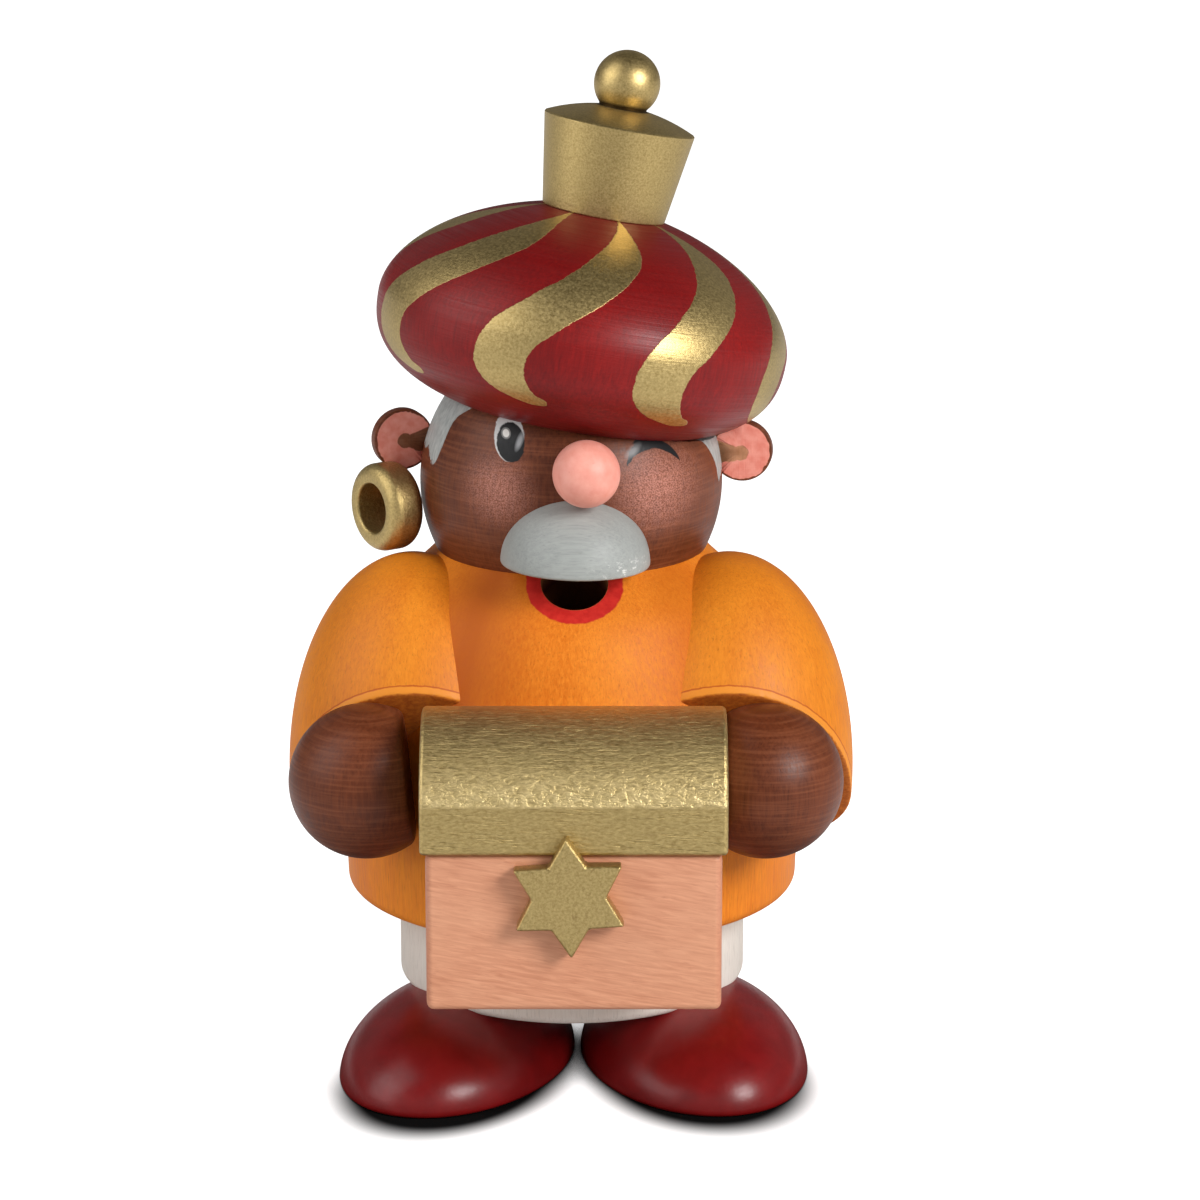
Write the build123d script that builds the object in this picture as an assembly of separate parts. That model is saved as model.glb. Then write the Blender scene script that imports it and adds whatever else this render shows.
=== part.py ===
from build123d import *
import math
import os

# Incense smoker: a turned wooden figure in a turban who carries a treasure chest.
# An incense cone glows on a metal dish inside the hollow robe, and the smoke leaves by the mouth.
# Millimetres and degrees. The figure looks towards -Y, +X is on the viewer's right, and Z=0 is the floor.
# Left and right are the figure's own, so its right side lies at -X.
# Every piece is built round the turning axis of the robe, and the finished pieces are moved back by
# axis_setback, so that the origin lies on the floor under the middle of the whole figure.

# Small clearances and allowances shared by several pieces
cut_overrun = 5.0
turning_gap = 0.30
dish_gap = 0.08

# Trousers: the fixed block that carries the robe, the dish and the air hole
trousers_radius = 26.9
trousers_base = 10.7
trousers_edge_round = 1.5
robe_seat_height = 25.8
spigot_radius = 18.5
spigot_length = 12.2
spigot_edge_round = 1.0
air_hole_diameter = 3.4
air_hole_reach = 15.4

# Shoes: halved eggs, one turned out a little more than the other
shoe_length = 52.0
shoe_width = 34.0
shoe_lap_on_trousers = 1.8
right_shoe_x = -17.6
right_shoe_y = -12.9
right_toe_out = 18.0
left_shoe_x = 18.9
left_shoe_y = -11.9
left_toe_out = 13.0

# Pegs that hold the shoes
shoe_peg_diameter = 5.0
shoe_peg_in_shoe = 7.0
shoe_peg_in_trousers = 8.0
shoe_peg_x = 12.0
shoe_peg_y = -7.0

# Incense dish: a pressed metal pan that lies loose in the top of the spigot
dish_radius = 12.2
dish_depth = 2.6
dish_sheet = 0.5
dish_rim_width = 1.6

# Incense cone
cone_base_diameter = 12.0
cone_tip_diameter = 2.0
cone_tip_round = 0.5
cone_headroom = 8.6

# Robe: the hollow bell, with the smoke chamber and the mouth
robe_hem_radius = 34.9
robe_hem_round = 2.0
robe_neck_height = 79.5
robe_neck_radius = 20.6
robe_height_shares = (0.27, 0.49, 0.68, 0.87)
robe_radius_shares = (1.008, 0.976, 0.905, 0.778)
robe_neck_slope = 43.0
chamber_roof = 12.0
mouth_diameter = 10.0
mouth_x = 0.6
mouth_below_neck = 0.5
mouth_outside_neck = 0.8
mouth_slope = 50.0
mouth_into_chamber = 2.0

# Arms: turned eggs that lean back, hollowed to the robe and sawn off at the wrist
arm_half_length = 33.4
arm_radius = 19.6
arm_inside_hem = 11.6
arm_behind_belly = 21.5
arm_below_neck = 32.3
arm_lean_back = 15.0
arm_lean_out = 2.0
arm_foot_drop = 9.0
arm_foot_round = 6.0
wrist_behind_belly = 8.9
wrist_below_neck = 19.5
wrist_tilt = 32.0
arm_peg_diameter = 6.0
arm_peg_in_robe = 9.0
arm_peg_in_arm = 6.0
arm_peg_y = -4.0
arm_peg_below_neck = 23.5

# Hands: balls with one flat on the wrist and one towards the chest
hand_radius = 11.6
hand_behind_belly = 5.4
hand_below_neck = 29.1
right_hand_gap_to_lid = 2.3
left_hand_gap_to_lid = 0.2
right_hand_flat = 6.3
left_hand_flat = 5.9
right_hand_flat_tilt = 6.0
left_hand_flat_tilt = 0.0
hand_peg_diameter = 3.0
hand_peg_in_hand = 6.0
hand_peg_in_arm = 3.8

# Head and what is glued to it
head_radius = 23.1
head_above_neck = 10.3
neck_peg_diameter = 8.0
neck_peg_in_robe = 8.0
neck_peg_in_head = 11.0
nose_radius = 5.0
nose_x = 2.4
nose_out_from_head = 3.3
nose_above_centre = 6.6
moustache_radius = 11.2
moustache_rise = 10.7
moustache_x = 0.7
moustache_into_head = 3.1
moustache_below_centre = 8.5
moustache_roll = 1.5
ear_radius = 4.7
ear_thickness = 2.0
right_ear_out_from_head = 2.7
right_ear_above_centre = 6.2
right_ear_turn = 20.0
left_ear_out_from_head = 3.0
left_ear_above_centre = 4.4
left_ear_turn = 8.0
earring_outer_radius = 6.75
earring_hole_radius = 3.8
earring_thickness = 5.9
earring_round = 1.4
earring_out_from_head = 5.0
earring_y = -3.0
earring_below_centre = 3.7
earring_turn = 54.0

# Headgear: turban, gold crown and ball share one leaning axis
hat_roll = 10.4
hat_lean_back = 3.4
turban_x = 1.8
turban_y = 0.0
turban_above_head = 0.8
turban_radius = 31.4
turban_rise = 18.3
turban_drop = 15.6
turban_rise_swell = 1.83
turban_drop_swell = 2.56
turban_outline_steps = 8
turban_seat_depth = 2.5
turban_peg_diameter = 8.0
turban_peg_in_turban = 8.0
turban_peg_in_head = 7.0
crown_base_radius = 9.35
crown_top_radius = 11.5
crown_sink = 1.1
crown_side_height = 13.7
crown_dome_height = 2.6
crown_peg_diameter = 5.0
crown_peg_in_crown = 8.0
crown_peg_in_turban = 8.0
knob_radius = 5.0
knob_seat_radius = 3.6

# Treasure chest: block and lid of solid wood, hollowed at the back to lie against the belly
chest_x = 0.6
chest_width = 43.0
chest_front_of_belly = 15.1
chest_below_hands = 28.9
chest_box_height = 23.9
chest_depth = 21.5
chest_edge_round = 0.8
lid_overhang = 0.8
lid_band_height = 7.2
lid_full_depth = 27.0
lid_arch_height = 11.0
star_radius = 9.15
star_notch_radius = 5.45
star_notch_round = 0.5
star_tip_round = 0.35
star_thickness = 3.0
star_x = -0.1
star_below_lid = 5.8
star_turn = 2.4
star_points = 6

# Worked out from the sizes above
half_turn = 180.0
quarter_turn = 90.0
full_turn = 360.0
shoe_height = trousers_base + shoe_lap_on_trousers
spigot_top = robe_seat_height + spigot_length
dish_floor = spigot_top - dish_depth
chamber_radius = spigot_radius + turning_gap
chamber_ceiling = robe_neck_height - chamber_roof
cone_height = chamber_ceiling - cone_headroom - dish_floor - dish_sheet
mouth_height = robe_neck_height - mouth_below_neck
mouth_reach = robe_neck_radius + mouth_outside_neck
arm_x = robe_hem_radius - arm_inside_hem
arm_y = arm_behind_belly - robe_hem_radius
arm_z = robe_neck_height - arm_below_neck
arm_peg_z = robe_neck_height - arm_peg_below_neck
wrist_y = wrist_behind_belly - robe_hem_radius
wrist_z = robe_neck_height - wrist_below_neck
hand_y = hand_behind_belly - robe_hem_radius
hand_z = robe_neck_height - hand_below_neck
half_lid_width = chest_width / 2 + lid_overhang
right_hand_x = chest_x - half_lid_width - right_hand_gap_to_lid - right_hand_flat
left_hand_x = chest_x + half_lid_width + left_hand_gap_to_lid + left_hand_flat
head_centre_height = robe_neck_height + head_above_neck
nose_y = -head_radius - nose_out_from_head
nose_z = head_centre_height + nose_above_centre
moustache_y = moustache_into_head - head_radius
moustache_base = head_centre_height - moustache_below_centre
right_ear_x = -head_radius - right_ear_out_from_head
right_ear_z = head_centre_height + right_ear_above_centre
left_ear_x = head_radius + left_ear_out_from_head
left_ear_z = head_centre_height + left_ear_above_centre
earring_x = -head_radius - earring_out_from_head
earring_z = head_centre_height - earring_below_centre
turban_z = head_centre_height + head_radius + turban_above_head
chest_front_y = -robe_hem_radius - chest_front_of_belly
chest_back_y = chest_front_y + chest_depth
chest_base = hand_z - chest_below_hands
chest_top = chest_base + chest_box_height
lid_arch_start = chest_top + lid_band_height
star_front_y = chest_front_y - star_thickness
star_z = chest_top - star_below_lid
widest_share = max(robe_radius_shares)
axis_setback = -(star_front_y + robe_hem_radius * widest_share) / 2


def lathe(*outline):
    """Turn a closed outline of (radius, height) edges round the vertical axis."""
    return revolve(Plane.XZ * make_face(outline), Axis.Z)


def peg(diameter, start, finish):
    """A round peg between two points."""
    run = Vector(*finish) - Vector(*start)
    way = Plane(origin=start, z_dir=tuple(run))
    return way * Cylinder(diameter / 2, run.length, align=(Align.CENTER, Align.CENTER, Align.MIN))


def largest(shape):
    """The biggest solid of a cut piece: offcuts fall away."""
    return max(shape.solids(), key=lambda solid: solid.volume)


def place_on_hat():
    """The leaning axis of the headgear, with its zero at the turban's widest circle."""
    return Pos(turban_x, turban_y, turban_z) * Rot(-hat_lean_back, hat_roll, 0)


def robe_outline():
    """The bell from the rounded hem to the neck, as edges of (radius, height)."""
    height = robe_neck_height - robe_seat_height
    hem_side = (robe_hem_radius, robe_seat_height + robe_hem_round)
    hem_foot = (robe_hem_radius - robe_hem_round, robe_seat_height)
    neck = (robe_neck_radius, robe_neck_height)
    shares = zip(robe_radius_shares, robe_height_shares)
    side = [(robe_hem_radius * wide, robe_seat_height + height * high) for wide, high in shares]
    slope = math.radians(robe_neck_slope)
    bell = Spline(hem_side, *side, neck, tangents=((0, 1), (-math.cos(slope), math.sin(slope))))
    hem = JernArc(hem_foot, (1, 0), robe_hem_round, quarter_turn)
    return hem_foot, neck, hem, bell


def robe_block():
    """The robe before the chamber and the mouth are bored."""
    hem_foot, neck, hem, bell = robe_outline()
    foot = Line((0, robe_seat_height), hem_foot)
    top = Line(neck, (0, robe_neck_height))
    core = Line((0, robe_neck_height), (0, robe_seat_height))
    return lathe(foot, hem, bell, top, core)


def belly_cutter():
    """The robe's form with a straight skirt below it, for everything that lies against the robe."""
    skirt_drop = robe_seat_height + robe_hem_round
    skirt = Cylinder(robe_hem_radius, skirt_drop, align=(Align.CENTER, Align.CENTER, Align.MIN))
    return robe_block() + skirt


def mouth_axis():
    """Mouth centre, the direction in which the bore slopes into the chamber, and its depth."""
    slope = math.radians(mouth_slope)
    centre = Vector(mouth_x, -mouth_reach, mouth_height)
    inwards = Vector(0, math.cos(slope), -math.sin(slope))
    depth = (mouth_height - chamber_ceiling) / math.sin(slope) + mouth_into_chamber
    return centre, inwards, depth


def make_robe():
    """Hollow robe: chamber bored from below and mouth bored from the front."""
    robe = robe_block()
    chamber_height = chamber_ceiling - robe_seat_height
    chamber = Cylinder(chamber_radius, chamber_height, align=(Align.CENTER, Align.CENTER, Align.MIN))
    robe -= Pos(0, 0, robe_seat_height) * chamber
    centre, inwards, depth = mouth_axis()
    outside = centre - inwards * cut_overrun
    inside = centre + inwards * depth
    robe -= peg(mouth_diameter, tuple(outside), tuple(inside))
    robe -= make_neck_peg()
    for side in (-1, 1):
        robe -= make_arm_peg(side)
    return robe


def make_neck_peg():
    """Peg between robe and head."""
    low = (0, 0, robe_neck_height - neck_peg_in_robe)
    high = (0, 0, robe_neck_height + neck_peg_in_head)
    return peg(neck_peg_diameter, low, high)


def robe_radius_at(height):
    """Radius of the robe at one height, from a thin slice of its form."""
    slice_face = robe_block() & (Pos(0, 0, height) * Rectangle(2 * robe_hem_radius * widest_share,
                                                               2 * robe_hem_radius * widest_share))
    return slice_face.bounding_box().size.X / 2


def make_arm_peg(side):
    """Peg that holds an arm on the side of the robe."""
    surface = math.sqrt(robe_radius_at(arm_peg_z) ** 2 - arm_peg_y ** 2)
    inner = (side * (surface - arm_peg_in_robe), arm_peg_y, arm_peg_z)
    outer = (side * (surface + arm_peg_in_arm), arm_peg_y, arm_peg_z)
    return peg(arm_peg_diameter, inner, outer)


def wrist_plane():
    """The sawn end of the sleeve faces forwards and down."""
    tilt = math.radians(wrist_tilt)
    return Plane(origin=(0, wrist_y, wrist_z), x_dir=(1, 0, 0), z_dir=(0, -math.cos(tilt), -math.sin(tilt)))


def make_arm(side, belly, head):
    """A leaning egg, hollowed to the robe and sawn at the wrist."""
    arc = EllipticalCenterArc((0, 0), arm_radius, arm_half_length, -quarter_turn, arc_size=half_turn)
    egg = lathe(arc, Line((0, arm_half_length), (0, -arm_half_length)))
    egg = largest(split(egg, bisect_by=Plane(origin=(0, 0, -arm_foot_drop)), keep=Keep.TOP))
    egg = fillet(egg.edges().group_by(Axis.Z)[0], arm_foot_round)
    arm = Pos(side * arm_x, arm_y, arm_z) * Rot(-arm_lean_back, side * arm_lean_out, 0) * egg
    arm = largest(split(arm, bisect_by=wrist_plane(), keep=Keep.BOTTOM))
    arm = largest(arm - belly)
    arm = largest(arm - head - make_arm_peg(side) - make_hand_peg(side))
    return arm


def hand_centre(side):
    """Centre of a hand ball."""
    hand_x = left_hand_x if side > 0 else right_hand_x
    return Vector(hand_x, hand_y, hand_z)


def make_hand_peg(side):
    """Peg between sleeve and hand, square to the sawn wrist, and never deeper than the sleeve's hollow."""
    plane = wrist_plane()
    foot = plane.to_local_coords(hand_centre(side))
    low = plane.from_local_coords(Vector(foot.X, foot.Y, -hand_peg_in_arm))
    high = plane.from_local_coords(Vector(foot.X, foot.Y, hand_peg_in_hand))
    return largest(peg(hand_peg_diameter, tuple(low), tuple(high)) - belly_cutter())


def make_hand(side, belly):
    """Ball, cut flat on the sleeve and towards the chest."""
    hand = Plane(origin=hand_centre(side), z_dir=wrist_plane().z_dir) * Sphere(hand_radius)
    hand = largest(split(hand, bisect_by=wrist_plane(), keep=Keep.TOP))
    reach = left_hand_flat if side > 0 else right_hand_flat
    tilt = math.radians(left_hand_flat_tilt if side > 0 else right_hand_flat_tilt)
    towards_chest = Vector(-side * math.cos(tilt), 0, math.sin(tilt))
    flat = Plane(origin=hand_centre(side) + towards_chest * reach, z_dir=towards_chest)
    hand = largest(split(hand, bisect_by=flat, keep=Keep.BOTTOM))
    return largest(hand - belly - make_hand_peg(side))


def make_trousers():
    """Block with the spigot for the robe, the recess for the dish and the air hole."""
    block_height = robe_seat_height - trousers_base
    block = Cylinder(trousers_radius, block_height, align=(Align.CENTER, Align.CENTER, Align.MIN))
    block = fillet(block.edges().group_by(Axis.Z)[0], trousers_edge_round)
    spigot = Cylinder(spigot_radius, spigot_length, align=(Align.CENTER, Align.CENTER, Align.MIN))
    spigot = fillet(spigot.edges().group_by(Axis.Z)[-1], spigot_edge_round)
    body = Pos(0, 0, trousers_base) * block + Pos(0, 0, robe_seat_height) * spigot
    recess = Cylinder(dish_radius + dish_gap, dish_depth, align=(Align.CENTER, Align.CENTER, Align.MAX))
    body -= Pos(0, 0, spigot_top) * recess
    low = (0, air_hole_reach, trousers_base - cut_overrun)
    high = (0, air_hole_reach, spigot_top + cut_overrun)
    body -= peg(air_hole_diameter, low, high)
    for side in (-1, 1):
        body -= make_shoe_peg(side)
    return body


def make_shoe_peg(side):
    """Peg between a shoe and the trousers."""
    low = (side * shoe_peg_x, shoe_peg_y, trousers_base - shoe_peg_in_shoe)
    high = (side * shoe_peg_x, shoe_peg_y, trousers_base + shoe_peg_in_trousers)
    return peg(shoe_peg_diameter, low, high)


def make_shoe(side, trousers):
    """Half an egg lying on its flat, cut away on top where the trousers stand in it."""
    spot_x = left_shoe_x if side > 0 else right_shoe_x
    spot_y = left_shoe_y if side > 0 else right_shoe_y
    toe_out = left_toe_out if side > 0 else right_toe_out
    shoe = scale(Sphere(1), by=(shoe_width / 2, shoe_length / 2, shoe_height))
    shoe = largest(split(shoe, bisect_by=Plane.XY, keep=Keep.TOP))
    shoe = Pos(spot_x, spot_y, 0) * Rot(0, 0, side * toe_out) * shoe
    return largest(shoe - trousers - make_shoe_peg(side))


def make_dish():
    """Pressed pan with a rounded corner and a narrow flat rim that lies on the spigot."""
    inner = dish_radius - dish_sheet
    rim = dish_radius + dish_rim_width
    profile = Polyline((0, 0), (dish_radius, 0), (dish_radius, dish_depth), (rim, dish_depth),
                       (rim, dish_depth + dish_sheet), (inner, dish_depth + dish_sheet),
                       (inner, dish_sheet), (0, dish_sheet), (0, 0))
    pan = revolve(Plane.XZ * make_face(profile), Axis.Z)
    return Pos(0, 0, dish_floor) * pan


def make_cone():
    """Pressed incense cone standing in the dish."""
    cone = Cone(cone_base_diameter / 2, cone_tip_diameter / 2, cone_height,
                align=(Align.CENTER, Align.CENTER, Align.MIN))
    cone = fillet(cone.edges().group_by(Axis.Z)[-1], cone_tip_round)
    return Pos(0, 0, dish_floor + dish_sheet) * cone


def head_ball():
    """The head before its flats and holes: a plain ball."""
    return Pos(0, 0, head_centre_height) * Sphere(head_radius)


def crown_seat_plane():
    """Flat on top of the head that carries the turban."""
    return Plane(place_on_hat() * Pos(0, 0, turban_seat_depth - turban_drop))


def make_head():
    """Ball with a flat neck and a leaning flat for the turban."""
    head = head_ball()
    neck_plane = Plane(origin=(0, 0, robe_neck_height))
    head = largest(split(head, bisect_by=neck_plane, keep=Keep.TOP))
    head = largest(split(head, bisect_by=crown_seat_plane(), keep=Keep.BOTTOM))
    return head - make_neck_peg() - make_turban_peg()


def make_turban_peg():
    """Peg between head and turban, on the leaning axis."""
    seat = place_on_hat() * Pos(0, 0, turban_seat_depth - turban_drop)
    length = turban_peg_in_turban + turban_peg_in_head
    dowel = Cylinder(turban_peg_diameter / 2, length, align=(Align.CENTER, Align.CENTER, Align.MIN))
    return seat * Pos(0, 0, -turban_peg_in_head) * dowel


def swelling(radius, reach, swell):
    """Quarter outline from the widest circle to the axis: 2 is an ellipse, more is fuller."""
    points = []
    for number in range(turban_outline_steps + 1):
        angle = math.radians(quarter_turn * number / turban_outline_steps)
        wide = radius * math.cos(angle) ** (2 / swell)
        high = reach * math.sin(angle) ** (2 / swell)
        points.append((wide, high))
    points[-1] = (0, reach)
    return Spline(*points, tangents=((0, reach), (-radius, 0)))


def make_turban(head):
    """Flat turned ball, fuller above than below, with a shallow seat turned into its underside."""
    top = swelling(turban_radius, turban_rise, turban_rise_swell)
    low = swelling(turban_radius, -turban_drop, turban_drop_swell)
    turban = place_on_hat() * lathe(low, top, Line((0, turban_rise), (0, -turban_drop)))
    turban -= make_crown_tool()
    turban -= head
    return largest(turban - make_turban_peg() - make_crown_peg())


def make_crown_tool():
    """Space above the turban's flat top, where the crown stands."""
    space = Cylinder(turban_radius, turban_rise, align=(Align.CENTER, Align.CENTER, Align.MIN))
    return place_on_hat() * Pos(0, 0, turban_rise - crown_sink) * space


def make_crown_peg():
    """Peg between turban and crown."""
    length = crown_peg_in_crown + crown_peg_in_turban
    dowel = Cylinder(crown_peg_diameter / 2, length, align=(Align.CENTER, Align.CENTER, Align.MIN))
    return place_on_hat() * Pos(0, 0, turban_rise - crown_sink - crown_peg_in_turban) * dowel


def knob_centre_height():
    """Height of the ball's centre above the foot of the crown."""
    seat_drop = math.sqrt(knob_radius ** 2 - knob_seat_radius ** 2)
    return crown_side_height + crown_dome_height + seat_drop


def make_crown():
    """Upside-down cone with a low dome that is cut flat under the ball."""
    dome_radius = (crown_top_radius ** 2 + crown_dome_height ** 2) / (2 * crown_dome_height)
    side_top = (crown_top_radius, crown_side_height)
    apex = (0, crown_side_height + crown_dome_height)
    dome_centre = (0, crown_side_height + crown_dome_height - dome_radius)
    rim_angle = math.degrees(math.asin((crown_side_height - dome_centre[1]) / dome_radius))
    dome = CenterArc(dome_centre, dome_radius, rim_angle, quarter_turn - rim_angle)
    foot = Line((0, 0), (crown_base_radius, 0))
    flank = Line((crown_base_radius, 0), side_top)
    crown = place_on_hat() * Pos(0, 0, turban_rise - crown_sink) * lathe(foot, flank, dome, Line(apex, (0, 0)))
    return largest(crown - make_knob() - make_crown_peg())


def make_knob():
    """Gold ball with a small flat seat."""
    seat_drop = math.sqrt(knob_radius ** 2 - knob_seat_radius ** 2)
    ball = split(Sphere(knob_radius), bisect_by=Plane(origin=(0, 0, -seat_drop)), keep=Keep.TOP)
    foot = turban_rise - crown_sink + knob_centre_height()
    return largest(place_on_hat() * Pos(0, 0, foot) * ball)


def make_nose(head):
    """Small ball glued to the face."""
    return largest(Pos(nose_x, nose_y, nose_z) * Sphere(nose_radius) - head)


def make_moustache(head, nose):
    """Upper half of a ball, hollowed to the face."""
    whole = scale(Sphere(1), by=(moustache_radius, moustache_radius, moustache_rise))
    half = split(whole, bisect_by=Plane.XY, keep=Keep.TOP)
    half = Pos(moustache_x, moustache_y, moustache_base) * Rot(0, moustache_roll, 0) * half
    parts = (half - head_ball() - nose).solids()
    return min(parts, key=lambda solid: solid.center().Y)


def make_ear(side, turban):
    """Round disc, cut where it meets the head and the turban."""
    ear_x = left_ear_x if side > 0 else right_ear_x
    ear_z = left_ear_z if side > 0 else right_ear_z
    turn = left_ear_turn if side > 0 else right_ear_turn
    disc = Rot(quarter_turn, 0, 0) * Cylinder(ear_radius, ear_thickness)
    disc = Pos(ear_x, 0, ear_z) * Rot(0, 0, -side * turn) * disc
    return largest(disc - head_ball() - turban)


def make_earring(ear, arm):
    """Turned ring with a rounded section, glued below the right ear."""
    width = earring_outer_radius - earring_hole_radius
    middle = (earring_outer_radius + earring_hole_radius) / 2
    section = Pos(middle, 0) * RectangleRounded(width, earring_thickness, earring_round)
    ring = revolve(Plane.XZ * section, Axis.Z)
    ring = Pos(earring_x, earring_y, earring_z) * Rot(0, 0, -earring_turn) * Rot(quarter_turn, 0, 0) * ring
    return largest(ring - head_ball() - ear - arm)


def make_chest_box(belly, arms):
    """Solid block with softened edges, hollowed behind."""
    depth = chest_back_y - chest_front_y
    block = Box(chest_width, depth, chest_box_height, align=(Align.CENTER, Align.MIN, Align.MIN))
    front = block.edges().filter_by_position(Axis.Y, 0, 0)
    block = fillet(front, chest_edge_round)
    block = Pos(chest_x, chest_front_y, chest_base) * block
    return largest(block - belly - arms)


def make_chest_lid(belly, arms, hands):
    """Lid with an upright band and an arched top, a little wider than the box."""
    front_y = chest_front_y - lid_overhang
    half_depth = lid_full_depth / 2
    arch_radius = (half_depth ** 2 + lid_arch_height ** 2) / (2 * lid_arch_height)
    start = (front_y, lid_arch_start)
    finish = (front_y + lid_full_depth, lid_arch_start)
    arch = RadiusArc(start, finish, arch_radius)
    floor_back = (finish[0], chest_top)
    floor_front = (front_y, chest_top)
    sides = Polyline(finish, floor_back, floor_front, start)
    outline = Plane.YZ * make_face([arch, sides])
    width = 2 * half_lid_width
    lid = Pos(chest_x - width / 2, 0, 0) * extrude(outline, amount=width)
    spare = Box(width, lid_full_depth, lid_full_depth, align=(Align.CENTER, Align.MIN, Align.MIN))
    lid -= Pos(chest_x, chest_back_y, chest_top) * spare
    front = lid.edges().filter_by_position(Axis.Y, front_y, front_y)
    ends = lid.edges().filter_by(GeomType.CIRCLE)
    lid = fillet(front + ends, chest_edge_round)
    return largest(lid - belly - arms - hands)


def make_star(lid):
    """Six-pointed star with softened tips and notches, notched behind for the lid's band."""
    step = full_turn / star_points
    corners = []
    for number in range(star_points):
        tip = math.radians(quarter_turn + star_turn + number * step)
        notch = tip + math.radians(step / 2)
        corners.append((star_radius * math.cos(tip), star_radius * math.sin(tip)))
        corners.append((star_notch_radius * math.cos(notch), star_notch_radius * math.sin(notch)))
    face = make_face(Polyline(*corners, close=True))
    tips = [v for v in face.vertices() if v.center().length > (star_radius + star_notch_radius) / 2]
    notches = [v for v in face.vertices() if v.center().length < (star_radius + star_notch_radius) / 2]
    face = fillet(tips, star_tip_round)
    notches = [v for v in face.vertices() if v.center().length < star_notch_radius + star_tip_round]
    face = fillet(notches, star_notch_round)
    star = extrude(Plane.XZ * face, amount=star_thickness)
    return largest(Pos(star_x, chest_front_y, star_z) * star - lid)


def save(name, shape):
    """Move a piece into the shared frame and write it under its name."""
    solids = shape.solids() if not isinstance(shape, list) else [s for piece in shape for s in piece.solids()]
    placed = [Pos(0, axis_setback, 0) * solid for solid in solids]
    out = placed[0] if len(placed) == 1 else Compound(children=placed)
    out.label = name
    export_step(out, os.path.join("parts", name + ".step"))
    box = out.bounding_box()
    print(name, len(solids), "solids, size", [round(v, 2) for v in box.size],
          "low corner", [round(v, 2) for v in box.min])


os.makedirs("parts", exist_ok=True)

belly = belly_cutter()
head = make_head()
trousers = make_trousers()
turban = make_turban(head)
arm_right = make_arm(-1, belly, head)
arm_left = make_arm(1, belly, head)
arms = arm_right + arm_left
hand_right = make_hand(-1, belly)
hand_left = make_hand(1, belly)
hands = hand_right + hand_left
nose = make_nose(head)
ear_right = make_ear(-1, turban)
chest_lid = make_chest_lid(belly, arms, hands)

save("trousers", trousers)
save("shoe_right", make_shoe(-1, trousers))
save("shoe_left", make_shoe(1, trousers))
save("shoe_pegs", [make_shoe_peg(-1), make_shoe_peg(1)])
save("incense_dish", make_dish())
save("incense_cone", make_cone())
save("robe", make_robe())
save("arm_right", arm_right)
save("arm_left", arm_left)
save("arm_pegs", [make_arm_peg(-1), make_arm_peg(1)])
save("hand_right", hand_right)
save("hand_left", hand_left)
save("hand_pegs", [make_hand_peg(-1), make_hand_peg(1)])
save("neck_peg", make_neck_peg())
save("head", head)
save("nose", nose)
save("moustache", make_moustache(head, nose))
save("ear_right", ear_right)
save("ear_left", make_ear(1, turban))
save("earring", make_earring(ear_right, arm_right))
save("turban", turban)
save("turban_peg", make_turban_peg())
save("hat_crown", make_crown())
save("crown_peg", make_crown_peg())
save("hat_knob", make_knob())
save("chest_box", make_chest_box(belly, arms))
save("chest_lid", chest_lid)
save("chest_star", make_star(chest_lid))
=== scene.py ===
# %% [markdown]
# # An incense smoker, turned and painted piece by piece
# The object is a small turned figure: a hollow robe that lifts off a trousers block, a ball for a head,
# a big striped turban, and a treasure chest in its arms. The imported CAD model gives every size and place.
# This lesson makes a finished wooden piece for each of its visible solids, with sanded edges, stain and
# paint, and lights it like a catalogue picture. Sizes are in millimetres until the last step of each piece.

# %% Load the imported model
import bpy
import math
from mathutils import Matrix, Vector


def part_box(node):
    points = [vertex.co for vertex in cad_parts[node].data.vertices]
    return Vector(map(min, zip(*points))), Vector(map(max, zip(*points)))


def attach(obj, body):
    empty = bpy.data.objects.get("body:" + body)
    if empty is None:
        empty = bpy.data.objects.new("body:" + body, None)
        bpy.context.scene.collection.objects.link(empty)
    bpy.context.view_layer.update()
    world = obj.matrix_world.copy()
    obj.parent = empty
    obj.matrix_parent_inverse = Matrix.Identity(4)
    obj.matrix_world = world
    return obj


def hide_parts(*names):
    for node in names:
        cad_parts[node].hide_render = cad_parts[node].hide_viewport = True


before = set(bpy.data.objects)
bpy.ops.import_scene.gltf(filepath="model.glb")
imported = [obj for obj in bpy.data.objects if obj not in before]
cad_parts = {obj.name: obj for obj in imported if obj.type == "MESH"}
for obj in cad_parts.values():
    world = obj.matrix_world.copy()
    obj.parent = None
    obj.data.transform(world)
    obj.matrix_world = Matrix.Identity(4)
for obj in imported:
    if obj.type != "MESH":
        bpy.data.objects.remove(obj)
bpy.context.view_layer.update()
print("nodes in the frame:", len(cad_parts))

# %% [markdown]
# ## The turning axis
# On the real figure nearly every piece is turned, and the robe's axis is where all of them meet. The robe
# is round, so the middle of its box is that axis. Pieces are modelled round the world's own centre line and
# pushed back onto the axis at the very end, so that a lathe can simply turn about zero.

# %% The turning axis and the millimetre
mm = 0.001
robe_low, robe_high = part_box("robe")
axis_spot = Vector((0, (robe_low.y + robe_high.y) / 2, 0))
print("turning axis at y =", round(axis_spot.y * 1000, 2), "mm")


def alone(piece):
    """Select one piece and nothing else."""
    bpy.ops.object.select_all(action="DESELECT")
    piece.select_set(True)
    bpy.context.view_layer.objects.active = piece


def bench(piece, mode):
    """Put one piece into edit mode or back into object mode."""
    if mode == "EDIT":
        alone(piece)
    bpy.ops.object.mode_set(mode=mode)


def grab():
    """Select the whole mesh on the bench."""
    bpy.ops.mesh.select_all(action="SELECT")


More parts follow.
